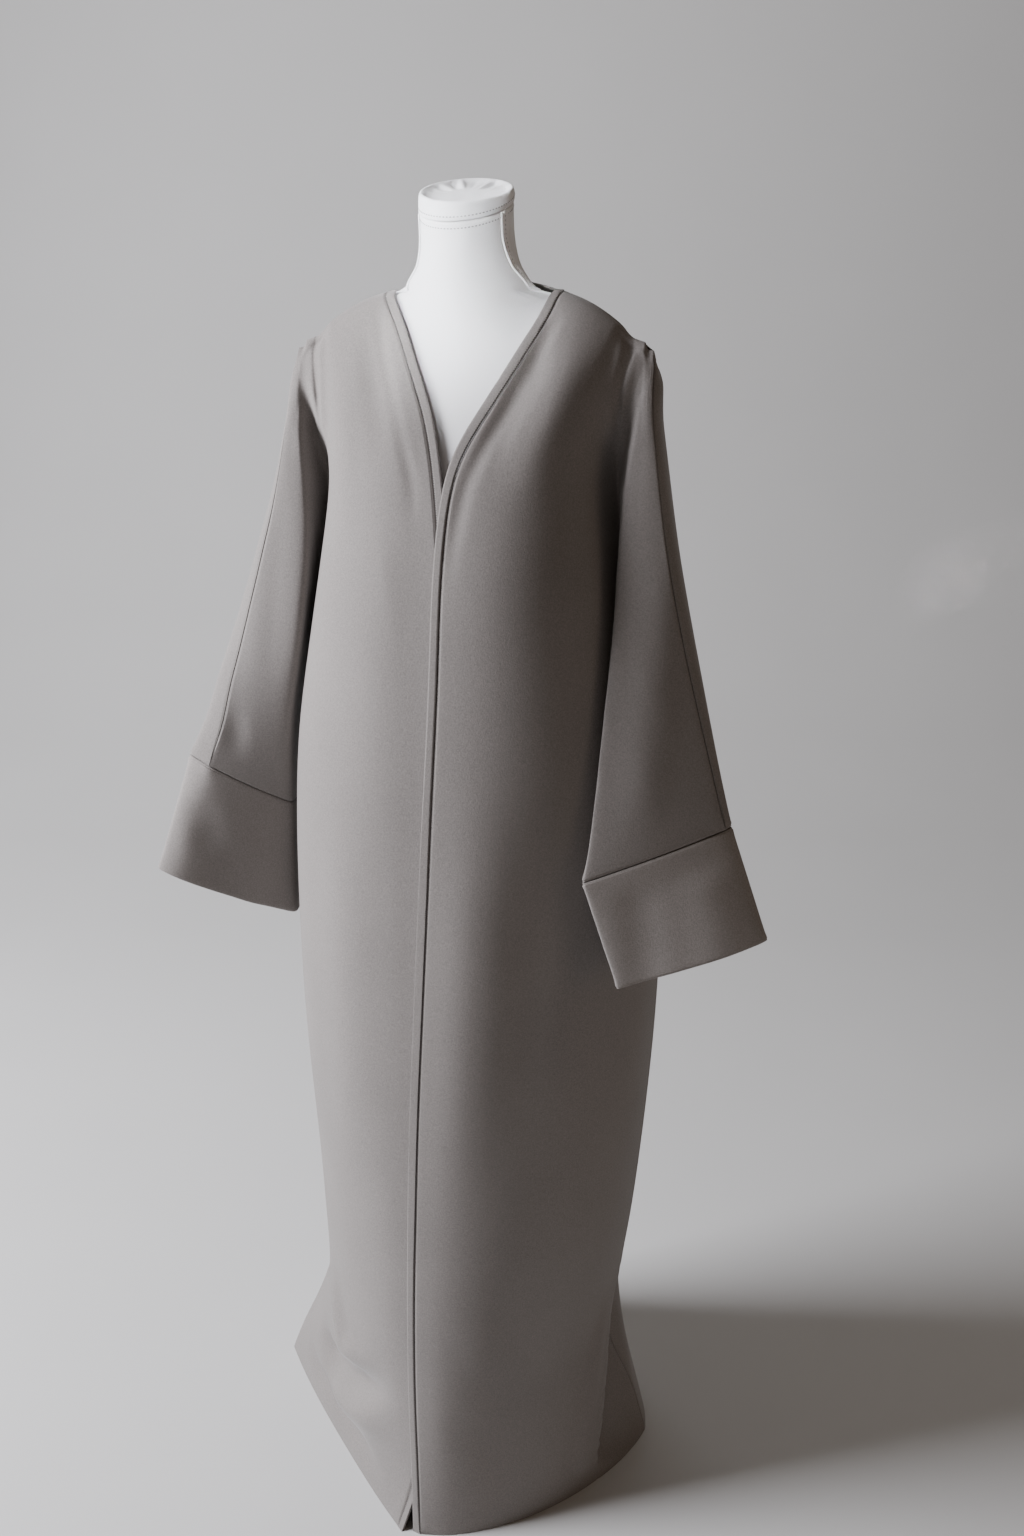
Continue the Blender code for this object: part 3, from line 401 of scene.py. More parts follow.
def shade(piece):
    """Smooth shading, but for the crisp edges."""
    piece.data.shade_smooth()
    piece.data.set_sharp_from_angle(angle=FOLD_ANGLE)


def soften_edges(piece, radius):
    """Round the cut edges, as cloth folded or pressed over a seam is round."""
    shell = bmesh.new()
    shell.from_mesh(piece.data)
    sharp = shell.edges.layers.float["crease_edge"]
    cut = [edge for edge in shell.edges if edge[sharp] > CREASED]
    bmesh.ops.bevel(shell, geom=cut, offset=radius, offset_type="OFFSET", segments=2,
                    profile=0.5, affect="EDGES", clamp_overlap=True, material=-1)
    shell.to_mesh(piece.data)
    shell.free()
    shade(piece)


# %% [markdown]
# ## Creases placed one by one
#
# A cloth simulation of a whole cloak would settle into its own folds, not
# these.  Each main crease is instead a line in space with a width, a depth
# and a direction, and it moves every layer of cloth near it alike, so seams
# stay closed.  The profile is a raised cosine: soft at both sides.  Where one
# side is much steeper, as behind a sharp fold, the two widths differ.

# %% The crease tool
BREATH_SCALE = (7.0, 7.0, 4.0)  # swells in a metre, across and up the cloth


def fade(share):
    """0 to 1, gently at both ends."""
    share = np.clip(share, 0.0, 1.0)
    return share * share * (3.0 - 2.0 * share)


def nearest_on_line(points, line):
    """Offset and distance from the line, and share of its length, for every point."""
    line = np.array(line, float) * MM
    spans = np.linalg.norm(np.diff(line, axis=0), axis=1)
    run = np.concatenate([[0.0], np.cumsum(spans)])
    best = np.full(len(points), np.inf)
    offset = np.zeros_like(points)
    share = np.zeros(len(points))
    for i, span in enumerate(spans):
        along = (line[i + 1] - line[i]) / span
        reach = np.clip((points - line[i]) @ along, 0.0, span)
        off = points - (line[i] + reach[:, None] * along)
        distance = np.linalg.norm(off, axis=1)
        closer = distance < best
        best = np.where(closer, distance, best)
        offset[closer] = off[closer]
        share = np.where(closer, (run[i] + reach) / run[-1], share)
    return offset, best, share


def crease_shift(points, line, width, depth, push, ends=(0.4, 0.4), far=None,
                 far_width=None, crest=False):
    """Shift of every point for one crease.  Sizes are in millimetres."""
    offset, distance, share = nearest_on_line(points, line)
    widths = np.atleast_1d(width)
    reach = np.interp(share, np.linspace(0.0, 1.0, len(widths)), widths) * MM
    if far is not None:
        reach = np.where(offset @ np.array(far, float) > 0.0, far_width * MM, reach)
    bell = 0.5 + 0.5 * np.cos(math.pi * np.clip(distance / reach, 0.0, 1.0))
    if crest:  # the near side meets the flat cloth in a fold, not softly
        near = offset @ np.array(far, float) <= 0.0
        fold = np.cos(0.5 * math.pi * np.clip(distance / reach, 0.0, 1.0))
        bell = np.where(near, fold, bell)
    start = fade(share / ends[0]) if ends[0] else 1.0
    end = fade((1.0 - share) / ends[1]) if ends[1] else 1.0
    amount = bell * start * end * depth * MM
    push = np.array(push, float)
    return amount[:, None] * push / np.linalg.norm(push)


def places_of(piece):
    return np.array([tuple(vertex.co) for vertex in piece.data.vertices])


def normals_of(piece):
    return np.array([tuple(vertex.normal) for vertex in piece.data.vertices])


def move_to(piece, places):
    piece.data.vertices.foreach_set("co", places.ravel())
    piece.data.update()


def press_creases(piece, creases, breath=0.0):
    """Move the piece's points by all its creases and a faint unevenness."""
    points = places_of(piece)
    shift = np.zeros_like(points)
    for crease in creases:
        shift += crease_shift(points, *crease)
    if breath:
        outward = points * (1.0, 1.0, 0.0)
        outward /= np.linalg.norm(outward, axis=1)[:, None] + 1e-9
        wander = np.array([noise.noise(Vector(point)) for point in points * BREATH_SCALE])
        shift += outward * (wander * breath * MM)[:, None]
    shift[:, 2] *= fade(points[:, 2] / FLOOR_LEVEL)  # nothing lifts off the floor
    move_to(piece, points + shift)


# %% [markdown]
# ## Ironing, and drawing cloth to a fold
#
# The solids meet at the shoulder in a ridge that no sewn sleeve head has.  A
# smoothing modifier would shrink each piece on its own and open the seam, so
# the iron moves both by one shared field.  A sharp fold needs mesh lines right
# on it, so points slide along the cloth to its line before it is creased.

# %% The iron and the drawing tool
BLOCK = 400  # points compared at a time
NEAR, SHARE = 18.0, 11.0  # mm: how far a point's side counts, and its rise is shared
SAME_SIDE = 0.2  # normals that agree more are on one side of the cloth
WIDE_ENOUGH = 0.3  # cut edges see less of their own side, and stay out
PLATEAU = 1.6  # even pressure in the middle of the iron, less at its rim
PULL = 0.75  # share of the way to the line


def close_points(places, wanted, pool, radius):
    """For every wanted point the pool points within a radius of it."""
    target = places[pool]
    size = np.sum(target ** 2, axis=1)
    close = []
    for first in range(0, len(wanted), BLOCK):
        block = places[wanted[first:first + BLOCK]]
        apart = np.sum(block ** 2, axis=1)[:, None] + size - 2.0 * block @ target.T
        close += [pool[row] for row in apart < radius ** 2]
    return close


def mean_over(values, groups):
    """Mean of the values over every group of indices."""
    counts = np.array([len(group) for group in groups])
    starts = np.concatenate([[0], np.cumsum(counts)[:-1]])
    sums = np.add.reduceat(values[np.concatenate(groups)], starts, axis=0)
    return sums / counts[:, None]


def iron(pieces, line, reach, rounds):
    """Smooth sewn pieces together near a line.

    Every point's rise towards the mean of its own side is found first.  The
    rises are then averaged over both sides and both pieces, so the layers
    and the seam between them move as one.
    """
    places = np.concatenate([places_of(piece) for piece in pieces])
    normals = np.concatenate([normals_of(piece) for piece in pieces])
    _, distance, _ = nearest_on_line(places, line)
    weight = fade(PLATEAU * (1.0 - distance / (reach * MM)))
    pool = np.nonzero(distance < (reach + SHARE + NEAR) * MM)[0]
    inner = np.nonzero(distance < (reach + SHARE) * MM)[0]
    moving = pool[weight[pool] > 0.0]
    around = close_points(places, inner, pool, NEAR * MM)
    sides = [group[normals[group] @ normals[i] > SAME_SIDE]
             for i, group in zip(inner, around)]
    on_skin = np.array([len(side) > WIDE_ENOUGH * len(group)
                        for side, group in zip(sides, around)])
    skin, sides = inner[on_skin], [side for side, good in zip(sides, on_skin) if good]
    shared = close_points(places, moving, skin, SHARE * MM)
    moving = moving[[len(group) > 0 for group in shared]]
    shared = [group for group in shared if len(group)]
    rise = np.zeros_like(places)
    for _ in range(rounds):
        gap = mean_over(places, sides) - places[skin]
        rise[skin] = normals[skin] * np.sum(gap * normals[skin], axis=1)[:, None]
        places[moving] += mean_over(rise, shared) * weight[moving][:, None]
    cuts = np.cumsum([len(piece.data.vertices) for piece in pieces])[:-1]
    for piece, moved in zip(pieces, np.split(places, cuts)):
        move_to(piece, moved)
    print("ironed", len(moving), "points")


def draw_to(piece, line, reach):
    """Slide points along the cloth towards a line, so a fold there is crisp."""
    places, normals = places_of(piece), normals_of(piece)
    offset, distance, _ = nearest_on_line(places, line)
    offset -= normals * np.sum(offset * normals, axis=1)[:, None]
    aside = np.linalg.norm(offset, axis=1)
    weight = np.clip(1.0 - aside / (reach * MM), 0.0, 1.0) * (distance < 2.0 * reach * MM)
    move_to(piece, places - offset * (weight * PULL)[:, None])


# %% [markdown]
# ## Where this cloak creases
#
# The lines below follow how the cloth hangs: the panels dip just beside the
# stitched bands, the chest pulls softly from the neck to the bust, and long
# folds run down the skirt.  Texture could fake these, but not their outline or
# their shadows.  Each row gives a line, its width and depth in millimetres (a
# negative depth is a hollow), the direction, and over what shares of the line
# its ends fade.  A steep crease adds its far side, the width there, and
# whether the near side meets flat cloth in a fold.

# %% Creases of the fronts and the hollows behind them
OUT = (0, -1, 0)
FRONT_CREASES = [
    # panels dip beside the bands, right then left
    ([(-97, -32, 1438), (-83, -55, 1400), (-62, -82, 1350), (-44, -102, 1300),
      (-30, -117, 1262), (-26, -133, 1200)],
     11, -1.6, OUT, (0.1, 0.3)),
    ([(104, -32, 1432), (87, -58, 1394), (66, -83, 1348), (44, -104, 1302),
      (28, -120, 1262), (20, -138, 1205), (16, -150, 1150)],
     12, -2, OUT, (0.1, 0.3)),
    # soft pull from the neck over the chest
    ([(-110, -40, 1424), (-86, -70, 1375), (-72, -94, 1320), (-62, -114, 1262)],
     26, -3.2, OUT, (0.3, 0.6)),
    ([(150, -30, 1416), (122, -64, 1366), (98, -94, 1299), (88, -118, 1225)],
     44, 5, OUT, (0.4, 0.5)),
    ([(100, -52, 1406), (79, -80, 1364), (60, -100, 1320), (44, -116, 1280)],
     20, -2.4, OUT, (0.3, 0.4)),
    ([(-140, -28, 1415), (-132, -70, 1350), (-128, -104, 1270), (-124, -126, 1190)],
     40, 3, OUT, (0.4, 0.5)),
    # long soft folds down the skirt
    ([(-110, -158, 1000), (-105, -170, 800), (-96, -178, 560), (-92, -180, 400)],
     60, 3.5, (-0.5, -1, 0)),
    ([(60, -176, 1020), (48, -196, 800), (38, -206, 560), (34, -208, 380)], 55, 3, (0.2, -1, 0)),
    ([(124, -150, 980), (118, -166, 800), (110, -172, 600), (104, -170, 420)],
     50, -3.5, (0.5, -1, 0)),
]
# the hollow between body and sleeve opens from a point below each shoulder tip
VALLEYS = [
    ([(183, -30, 1381), (181, -42, 1355), (173, -50, 1328), (163, -53, 1296),
      (155, -50, 1256), (157, -46, 1211), (166, -45, 1166), (177, -36, 1123),
      (188, -8, 1086)],
     (7, 13, 20, 25, 27, 27, 27, 27, 27), 26, (0.25, 1, 0), (0.42, 0.3), (-1, 0, 0), 44),
    ([(-184, -32, 1379), (-182, -42, 1355), (-175, -50, 1328), (-167, -54, 1296),
      (-160, -51, 1256), (-159, -46, 1211), (-166, -45, 1166), (-177, -36, 1123),
      (-188, -8, 1086)],
     (6, 11, 16, 21, 25, 27, 27, 27, 27), 27, (-0.25, 1, 0), (0.38, 0.3)),
    # the wide right sleeve stands further out than its solid in the middle
    ([(-236, -56, 1290), (-252, -62, 1180), (-268, -68, 1060), (-292, -76, 960)],
     62, 6.5, (-1, 0, 0), (0.35, 0.25)),
]
print(len(FRONT_CREASES + VALLEYS), "creases on the body")

# %% [markdown]
# ## The two kicks at the hem
#
# A cloak that reaches the floor breaks above it.  The right side buckles and
# swings out; the left side folds sharply.  Draping seldom finds the same break
# twice, so it is drawn.

# %% Creases of the kicks
RIGHT_KICK = [
    # upright bulge, the buckle under it, the hollow along the hem and a swell
    ([(-158, -120, 300), (-160, -118, 225), (-142, -143, 172), (-104, -176, 176),
      (-58, -202, 205)],
     34, 9, (-0.75, -0.65, 0), (0.45, 0.35)),
    ([(-214, -66, 118), (-178, -112, 104), (-137, -150, 122), (-88, -190, 160),
      (-40, -213, 196)],
     40, -16, (-0.7, -0.7, 0), (0.2, 0.4)),
    ([(-252, -36, 60), (-222, -72, 44), (-170, -124, 40), (-118, -172, 40),
      (-66, -216, 30)],
     26, -9, (-0.7, -0.7, 0), (0.3, 0.3)),
    ([(-186, -92, 70), (-140, -146, 78), (-96, -182, 96), (-50, -210, 118)],
     36, 8, (-0.6, -0.8, 0), (0.3, 0.4)),
]
LEFT_KICK = [
    # the hollow right behind the sharp fold, and a swell before it
    ([(182, 6, 262), (186, -10, 205), (188, -34, 140), (190, -66, 70),
      (188, -88, 12)],
     12, -24, (0.95, 0.3, 0), (0.35, 0.1), (0.3, 1, 0), 70, True),
    ([(176, -30, 250), (174, -58, 190), (170, -92, 110), (166, -118, 20)],
     26, 5, (0.8, -0.6, 0), (0.4, 0.1)),
    # two faint waves in the front
    ([(24, -222, 190), (60, -213, 130), (96, -192, 76)], 40, -1, (0.3, -1, 0)),
    ([(52, -206, 330), (74, -200, 260), (104, -184, 190)], 46, 1.5, (0.3, -1, 0)),
]
print(len(RIGHT_KICK + LEFT_KICK), "creases at the hem")

# %% [markdown]
# ## Sleeves and back
#
# The sleeves bend only a little, so their creases are shallow.  The back has
# quieter folds than the front, and its hem breaks too.

# %% Creases of the sleeves and the back
SLEEVE_CREASES = [
    # the sleeve tops stand out round the shoulder points
    ([(174, -4, 1416), (188, -12, 1392), (196, -18, 1362), (204, -30, 1320)],
     44, 8, (0.9, -0.1, 0.35), (0.3, 0.6)),
    ([(-174, -4, 1416), (-188, -12, 1390), (-196, -18, 1360), (-206, -30, 1316)],
     44, 7, (-0.9, -0.1, 0.35), (0.3, 0.6)),
    # left sleeve: soft ridge down the face, gentle waves in the cuff
    ([(216, -54, 1260), (225, -63, 1180), (222, -96, 1050), (216, -128, 890)],
     40, 2, (0.3, -0.9, 0.2), (0.4, 0.2)),
    ([(216, -134, 866), (228, -140, 811), (236, -146, 758)],
     34, -2.2, (0.35, -0.9, 0.2), (0.3, 0.0)),
    ([(284, -106, 880), (298, -110, 830), (308, -116, 786)],
     48, 2.6, (0.4, -0.9, 0.2), (0.3, 0.0)),
    # right sleeve: the dent above the cuff and its echo in the cuff
    ([(-268, -88, 1010), (-268, -88, 977), (-272, -88, 938)], 22, -2.6, (0.1, -1, 0), (0.5, 0.2)),
    ([(-318, -100, 902), (-308, -106, 855), (-298, -104, 806)], 32, -3, (0.3, -1, 0)),
    ([(-262, -72, 850), (-262, -76, 800), (-266, -80, 750)], 30, 1.8, (0.3, -1, 0), (0.4, 0.0)),
    ([(-214, -54, 1290), (-226, -66, 1190), (-236, -78, 1090), (-246, -82, 980)],
     24, 2, (-0.2, -1, 0)),
]
BACK_CREASES = [
    # two long folds with a hollow between them
    ([(-60, 96, 1330), (-72, 112, 1150), (-90, 132, 900), (-96, 140, 620)], 52, 5, (-0.2, 1, 0)),
    ([(72, 96, 1320), (84, 114, 1120), (98, 132, 880), (108, 138, 560)], 56, 5, (0.2, 1, 0)),
    ([(6, 104, 1280), (-6, 124, 1050), (8, 146, 760), (-4, 154, 430)], 48, -5, (0, 1, 0)),
    # the break above the floor
    ([(-150, 112, 330), (-172, 112, 210), (-206, 104, 90), (-228, 92, 14)],
     40, 8, (-0.6, 0.8, 0), (0.5, 0.1)),
    ([(-96, 150, 260), (-124, 158, 140), (-152, 158, 20)], 36, -8, (-0.4, 0.9, 0), (0.5, 0.1)),
    ([(96, 150, 300), (118, 156, 160), (140, 158, 16)], 38, -8, (0.4, 0.9, 0), (0.5, 0.1)),
    ([(20, 166, 220), (26, 180, 110), (32, 192, 14)], 44, 5, (0, 1, 0), (0.5, 0.1)),
    # hollows down the backs of the sleeves
    ([(232, 20, 1180), (246, 8, 1060), (258, -24, 960)], 30, -4, (0.4, 0.9, 0)),
    ([(-232, 22, 1180), (-248, 16, 1060), (-262, 2, 950)], 30, -4, (-0.4, 0.9, 0)),
]
ALL_CREASES = (VALLEYS + FRONT_CREASES + RIGHT_KICK + LEFT_KICK + SLEEVE_CREASES
               + BACK_CREASES)
print(len(ALL_CREASES), "creases in all")

# %% [markdown]
# ## Dress the cloak
#
# Every cloth piece gets the same creases, so a fold that crosses a seam goes
# on in the next piece.  The shoulders are ironed first, and the points are
# drawn to the left kick's fold.  The bands are doubled cloth and take a
# slightly rounder edge than the single panels.

# %% Panels, cuffs and bands
WORN = {  # node: (finish, wall, edge radius, how far the edge sinks), sizes in mm
    "front_left": (panel_crepe, 1.6, 0.4, 0.9),
    "front_right": (panel_crepe, 1.6, 0.4, 0.9),
    "back": (panel_crepe, 1.6, 0.4, 0.7),
    "cuff_left": (cuff_crepe_painted_light, 2.2, 0.6, 0.7),
    "cuff_right": (cuff_crepe_painted_light, 2.2, 0.6, 0.7),
    "band_left": (band_crepe, 2.6, 0.7, 0.5),
    "band_right": (band_crepe, 2.6, 0.7, 0.5),
    "band_back_neck": (band_crepe, 2.6, 0.7, 0.5),
}
SMOOTHNESS = 2  # rounds of subdivision
IRONING = 38, 3  # the iron's reach in mm, and its rounds
SHOULDER = [(184, -20, 1394), (172, -36, 1366), (164, -42, 1330)]  # the left one
FOLD_EDGE = [(179, -6, 262), (183, -22, 205), (184, -46, 140), (186, -78, 70), (184, -100, 0)]
FOLD_REACHES = 16, 9  # mm: a wide draw, then a narrow one
BREATH = 1.2  # mm of slow unevenness all over
worn = {}
for node, (finish, wall, radius, sink) in WORN.items():
    worn[node] = smooth_copy(node, "worn_" + node, SMOOTHNESS, wall * MM, sink * MM)
for sign, side in ((1, "front_left"), (-1, "front_right")):
    iron([worn[side], worn["back"]], [(sign * x, y, z) for x, y, z in SHOULDER], *IRONING)
for node in ("front_left", "back"):
    for reach in FOLD_REACHES:
        draw_to(worn[node], FOLD_EDGE, reach)
for node, (finish, wall, radius, sink) in WORN.items():
    piece = worn[node]
    press_creases(piece, ALL_CREASES, breath=BREATH)
    soften_edges(piece, radius * MM)
    put_on(piece, finish)
    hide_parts(node)
    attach(piece, "root")
    print(node, len(piece.data.polygons), "faces")

# %% [markdown]
# ## Stitches
#
# The bands are stitched down in the ditch beside the panel with short stitches,
# whose near-black colour is painted shade of the holes they sit in.  A bump
# pattern would slide off the seam, so each stitch is a tiny stretched ball set
# along it.  The seam is found by slicing the worn band and taking the outer
# corner on the panel side.

# %% Find a seam and set stitches along it
CORNER_REACH = 1.2 * MM  # the corner lies this near the seam's side
TURN_STEP = 0.5 * MM  # the seam's direction is taken this far before and after
BATCH = 25  # stitches built at a time, because big meshes slow the builder


def surface_of(*pieces):
    """One search tree over several pieces."""
    points, faces = [], []
    for piece in pieces:
        first = len(points)
        points += [vertex.co.copy() for vertex in piece.data.vertices]
        faces += [[first + i for i in face.vertices] for face in piece.data.polygons]
    return BVHTree.FromPolygons(points, faces)


def seam_line(piece, cuts):
    """Corner of the piece in each cut: (point on plane, normal, far, outward)."""
    shell = bmesh.new()
    shell.from_mesh(piece.data)
    corners = []
    for at, normal, far, outward in cuts:
        everything = shell.verts[:] + shell.edges[:] + shell.faces[:]
        cut = bmesh.ops.bisect_plane(shell, geom=everything, plane_co=at, plane_no=normal)
        points = [item.co.copy() for item in cut["geom_cut"]
                  if isinstance(item, bmesh.types.BMVert)]
        if points:
            edge = max(point.dot(far) for point in points)
            near = [point for point in points if point.dot(far) > edge - CORNER_REACH]
            corners.append(max(near, key=lambda point: point.dot(outward)))
    shell.free()
    return corners


def evenly_along(points, spacing):
    """(point, direction) every spacing along a broken line."""
    points = np.array([tuple(p) for p in points])
    run = np.concatenate([[0.0], np.cumsum(np.linalg.norm(np.diff(points, axis=0), axis=1))])
    stops = np.arange(0.5 * spacing, run[-1], spacing)

    def places(distances):
        return [Vector([np.interp(distance, run, points[:, k]) for k in range(3)])
                for distance in distances]

    return [(place, (ahead - behind).normalized()) for place, ahead, behind
            in zip(places(stops), places(stops + TURN_STEP), places(stops - TURN_STEP))]


def sewn_on(name, mesh, finish):
    """A small part as its own smooth piece, riding on the only body."""
    mesh.shade_smooth()
    piece = in_scene(name, mesh)
    put_on(piece, finish)
    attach(piece, "root")
    return piece


def stitch_row(name, line, surface, spacing, length, thick, finish, sink=0.0):
    """A row of stitches lying on a surface along a line."""
    row = bmesh.new()
    run = bmesh.new()
    places = evenly_along(line, spacing)
    for count, (place, along) in enumerate(places, 1):
        spot, normal, _, _ = surface.find_nearest(place)
        across = normal.cross(along).normalized()
        turn = Matrix((along, across, normal)).transposed().to_4x4()
        stretch = Matrix.Diagonal((0.5 * length, 0.5 * thick, 0.4 * thick, 1.0))
        bmesh.ops.create_uvsphere(run, u_segments=6, v_segments=4, radius=1.0,
                                  matrix=Matrix.Translation(spot - normal * sink)
                                  @ turn @ stretch)
        if count % BATCH == 0 or count == len(places):
            batch = bpy.data.meshes.new(name + "_run")
            run.to_mesh(batch)
            run.clear()
            row.from_mesh(batch)
            bpy.data.meshes.remove(batch)
    run.free()
    return sewn_on(name, mesh_of(name, row), finish)


# %% [markdown]
# ## The bands' stitches
#
# The fronts' bands are cut level by level.  The band round the back of the neck
# lies almost flat, so upright planes that turn round the neck cut it instead.

# %% Stitches of the cloak
LEVELS = [3 * MM] + [z * MM for z in range(15, 1440, 12)] + [1443 * MM]
TURNS = [math.radians(degrees) for degrees in range(4, 177, 4)]
BAND_STITCH = 2.5 * MM, 1.6 * MM, 1.3 * MM  # spacing, length, thickness
STITCH_SINK = 0.05 * MM
left, right = ([((0, 0, z), (0, 0, 1), Vector((sign, 0, 0)), Vector((0, -1, 0.3)))
                for z in LEVELS] for sign in (1.0, -1.0))
neck = [((0, 0, 0), (-math.sin(turn), math.cos(turn), 0),
         Vector((math.cos(turn), math.sin(turn), -0.4)),
         Vector((0.2 * math.cos(turn), 0.2, 1))) for turn in TURNS]
for band, panel, cuts in (("band_left", "front_left", left),
                          ("band_right", "front_right", right),
                          ("band_back_neck", "back", neck)):
    seam = seam_line(worn[band], cuts)
    skin = surface_of(worn[band], worn[panel])
    stitch_row("stitches_" + band, seam, skin, *BAND_STITCH, thread_painted_shade,
                                sink=STITCH_SINK)
    print(band, "seam points:", len(seam))

# %% [markdown]
# ## The dress form
#
# The torso and neck are smooth, so a subdivided copy of the solid is enough.
# It takes the hollows beside the sleeves too, and so stays under the cloth.
# Its cover is sewn: a tape hides each side seam of the neck, and the cap's
# cloth is gathered into a dish and stitched down round the neck.

# %% Torso
torso = smooth_copy("form_torso", "form_cover", SMOOTHNESS)
press_creases(torso, VALLEYS)
shade(torso)
put_on(torso, white_jersey)
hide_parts("form_torso")
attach(torso, "root")
torso_skin = surface_of(torso)
print("form cover:", len(torso.data.polygons), "faces")

# %% [markdown]
# ## The cap
#
# The cap is round in plan, so its profile is spun.  The plane it lies in is
# tipped forward, which one matrix does for the cap and its stitches.  The
# gathers are ripples round the dish, deeper on one side, pulled flat at the
# rim and at the middle.  Pleats would be crisper than jersey is.

# %% Cap
CAP_TILT = math.radians(20.0)
CAP_PLACE = Matrix(((1, 0, 0, 0),
                    (0, math.cos(CAP_TILT), 0, -9.0 * MM),
                    (0, math.sin(CAP_TILT), 1, 1532.3 * MM),
                    (0, 0, 0, 1)))
CAP_SIZE = 51.0 * MM, 54.5 * MM  # half width and half depth
AROUND = 120  # steps round the cap
LIP_SLANT = 1.3, -2.2, -3.9  # mm: rise in the middle, per half width and depth
LIP_TOP = 12.0 * MM
DISH_FLOOR, DISH_RIM = 8.5 * MM, 0.93  # the dish lies inside these
GATHERS = (10.0, 0.8, 1.0), (15.0, 2.1, 0.7), (23.0, 4.0, 0.5)  # ripples, phase, share
GATHERED_SIDE = math.radians(135.0)
GATHER_DEPTH, CRUMPLE_DEPTH, CRUMPLES = 1.35, 1.1, 3.5  # mm, mm, and waves across


def cap_form(at):
    """Rise of a cap point, given on the unit disc: the lip's slant and the gathers."""
    level, sideways, backwards = LIP_SLANT
    slant = (level + sideways * at.x + backwards * at.y) * MM * float(fade(at.z / LIP_TOP))
    radius = math.hypot(at.x, at.y)
    if at.z < DISH_FLOOR or radius > DISH_RIM:
        return slant
    angle = math.atan2(at.y, at.x)
    ripple = sum(share * math.sin(ripples * angle + phase) for ripples, phase, share in GATHERS)
    lean = 0.3 + 0.7 * max(0.0, math.cos(0.8 * (angle - GATHERED_SIDE)))
    band = float(fade((0.94 - radius) / 0.12) * fade((radius - 0.36) / 0.3))
    crumple = (noise.noise(Vector((at.x * CRUMPLES, at.y * CRUMPLES, 0.4)))
               * float(fade(1.0 - radius)))
    return slant + (GATHER_DEPTH * ripple * lean * band + CRUMPLE_DEPTH * crumple) * MM


def cap_cover(name, profile, finish):
    """Spin (share of the half width, height in mm) pairs into the gathered cap."""
    ring = bmesh.new()
    points = [ring.verts.new((share, 0.0, height * MM)) for share, height in profile]
    edges = [ring.edges.new(pair) for pair in zip(points, points[1:])]
    bmesh.ops.spin(ring, geom=points + edges, cent=(0, 0, 0), axis=(0, 0, 1),
                   angle=2.0 * math.pi, steps=AROUND, use_merge=True)
    bmesh.ops.remove_doubles(ring, verts=ring.verts, dist=0.01 * MM)
    bmesh.ops.recalc_face_normals(ring, faces=ring.faces)
    for vertex in ring.verts:
        vertex.co.z += cap_form(vertex.co)
    bmesh.ops.transform(ring, verts=ring.verts,
                        matrix=CAP_PLACE @ Matrix.Diagonal((*CAP_SIZE, 1, 1)))
    return sewn_on(name, mesh_of(name, ring), finish)


CAP_PROFILE = ((0.0, -1.0), (0.9, -1.0), (0.965, -0.8), (1.008, -0.2), (1.016, 1.0),
               (1.015, 4.0), (1.014, 6.5), (1.01, 9.0), (0.998, 11.2), (0.978, 12.6),
               (0.95, 12.9), (0.92, 12.3), (0.88, 11.0), (0.82, 9.9), (0.74, 9.3),
               (0.66, 9.0), (0.58, 8.9), (0.5, 8.8), (0.42, 8.8), (0.34, 8.8), (0.24, 8.8),
               (0.14, 8.8), (0.0, 8.8))
cap = cap_cover("form_cap_cover", CAP_PROFILE, white_jersey)
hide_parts("form_neck_cap")
print("cap:", len(cap.data.polygons), "faces")

# %% [markdown]
# ## The cap's two rows of stitches
#
# One row holds the cap's rim and one lies below it.  Both follow the tilted
# rim a little outside it, and each stitch settles on the nearest cloth.

# %% Stitch the cap down
RING_SHARE = 1.02
CAP_STITCH = 4.0 * MM, 2.6 * MM, 1.3 * MM  # spacing, length, thickness
cap_skin = surface_of(cap, torso)
for row, height in (("upper", 4.2), ("lower", -6.6)):
    rim = []
    for turn in [2 * math.pi * i / AROUND for i in range(AROUND + 1)]:
        x = CAP_SIZE[0] * RING_SHARE * math.cos(turn)
        y = CAP_SIZE[1] * RING_SHARE * math.sin(turn)
        rim.append(CAP_PLACE @ Vector((x, y, height * MM)))
    stitch_row("stitches_cap_" + row, rim, cap_skin, *CAP_STITCH, cotton_painted_shade)
    print("cap row at", height, "mm")

# %% [markdown]
# ## Neck tapes
#
# A tape covers the seam at each side of the neck.  A grid is laid over the
# neck's surface by shooting each of its points from the neck's middle out to
# the cover, then given a little thickness.  A cord stands along its front
# edge and a stitch row runs down its middle.

# %% Tools for tapes and cords
TAPE_HEIGHTS = 1526, 1500, 1482, 1467, 1456, 1448, 1440  # mm, top down
TAPE_ANGLES = -28, -25, -18, -11, -4, 1, 4  # degrees of its front edge
TAPE_WIDTH = 12.0 * MM
TAPE_LIFT, TAPE_THICKNESS = 0.15 * MM, 0.8 * MM
TAPE_CORNER = math.radians(50.0)
NECK_MIDDLE = -6.0 * MM  # its y


def on_neck(height, angle, side):
    """Point of the form's cover seen from the neck's middle at one angle."""
    aim = Vector((math.cos(angle) * side, math.sin(angle), 0.0))
    hit, normal, _, _ = torso_skin.ray_cast(Vector((0.0, NECK_MIDDLE, height)), aim)
    return hit, normal


def tape_point(down, across, side):
    """Point and normal at a share of the tape's length and of its width."""
    stops = np.linspace(0, 1, len(TAPE_HEIGHTS))
    height = np.interp(down, stops, TAPE_HEIGHTS) * MM
    start = math.radians(np.interp(down, stops, TAPE_ANGLES))
    edge, _ = on_neck(height, start, side)
    turn = across * TAPE_WIDTH / math.hypot(edge.x, edge.y)
    return on_neck(height, start + turn, side)


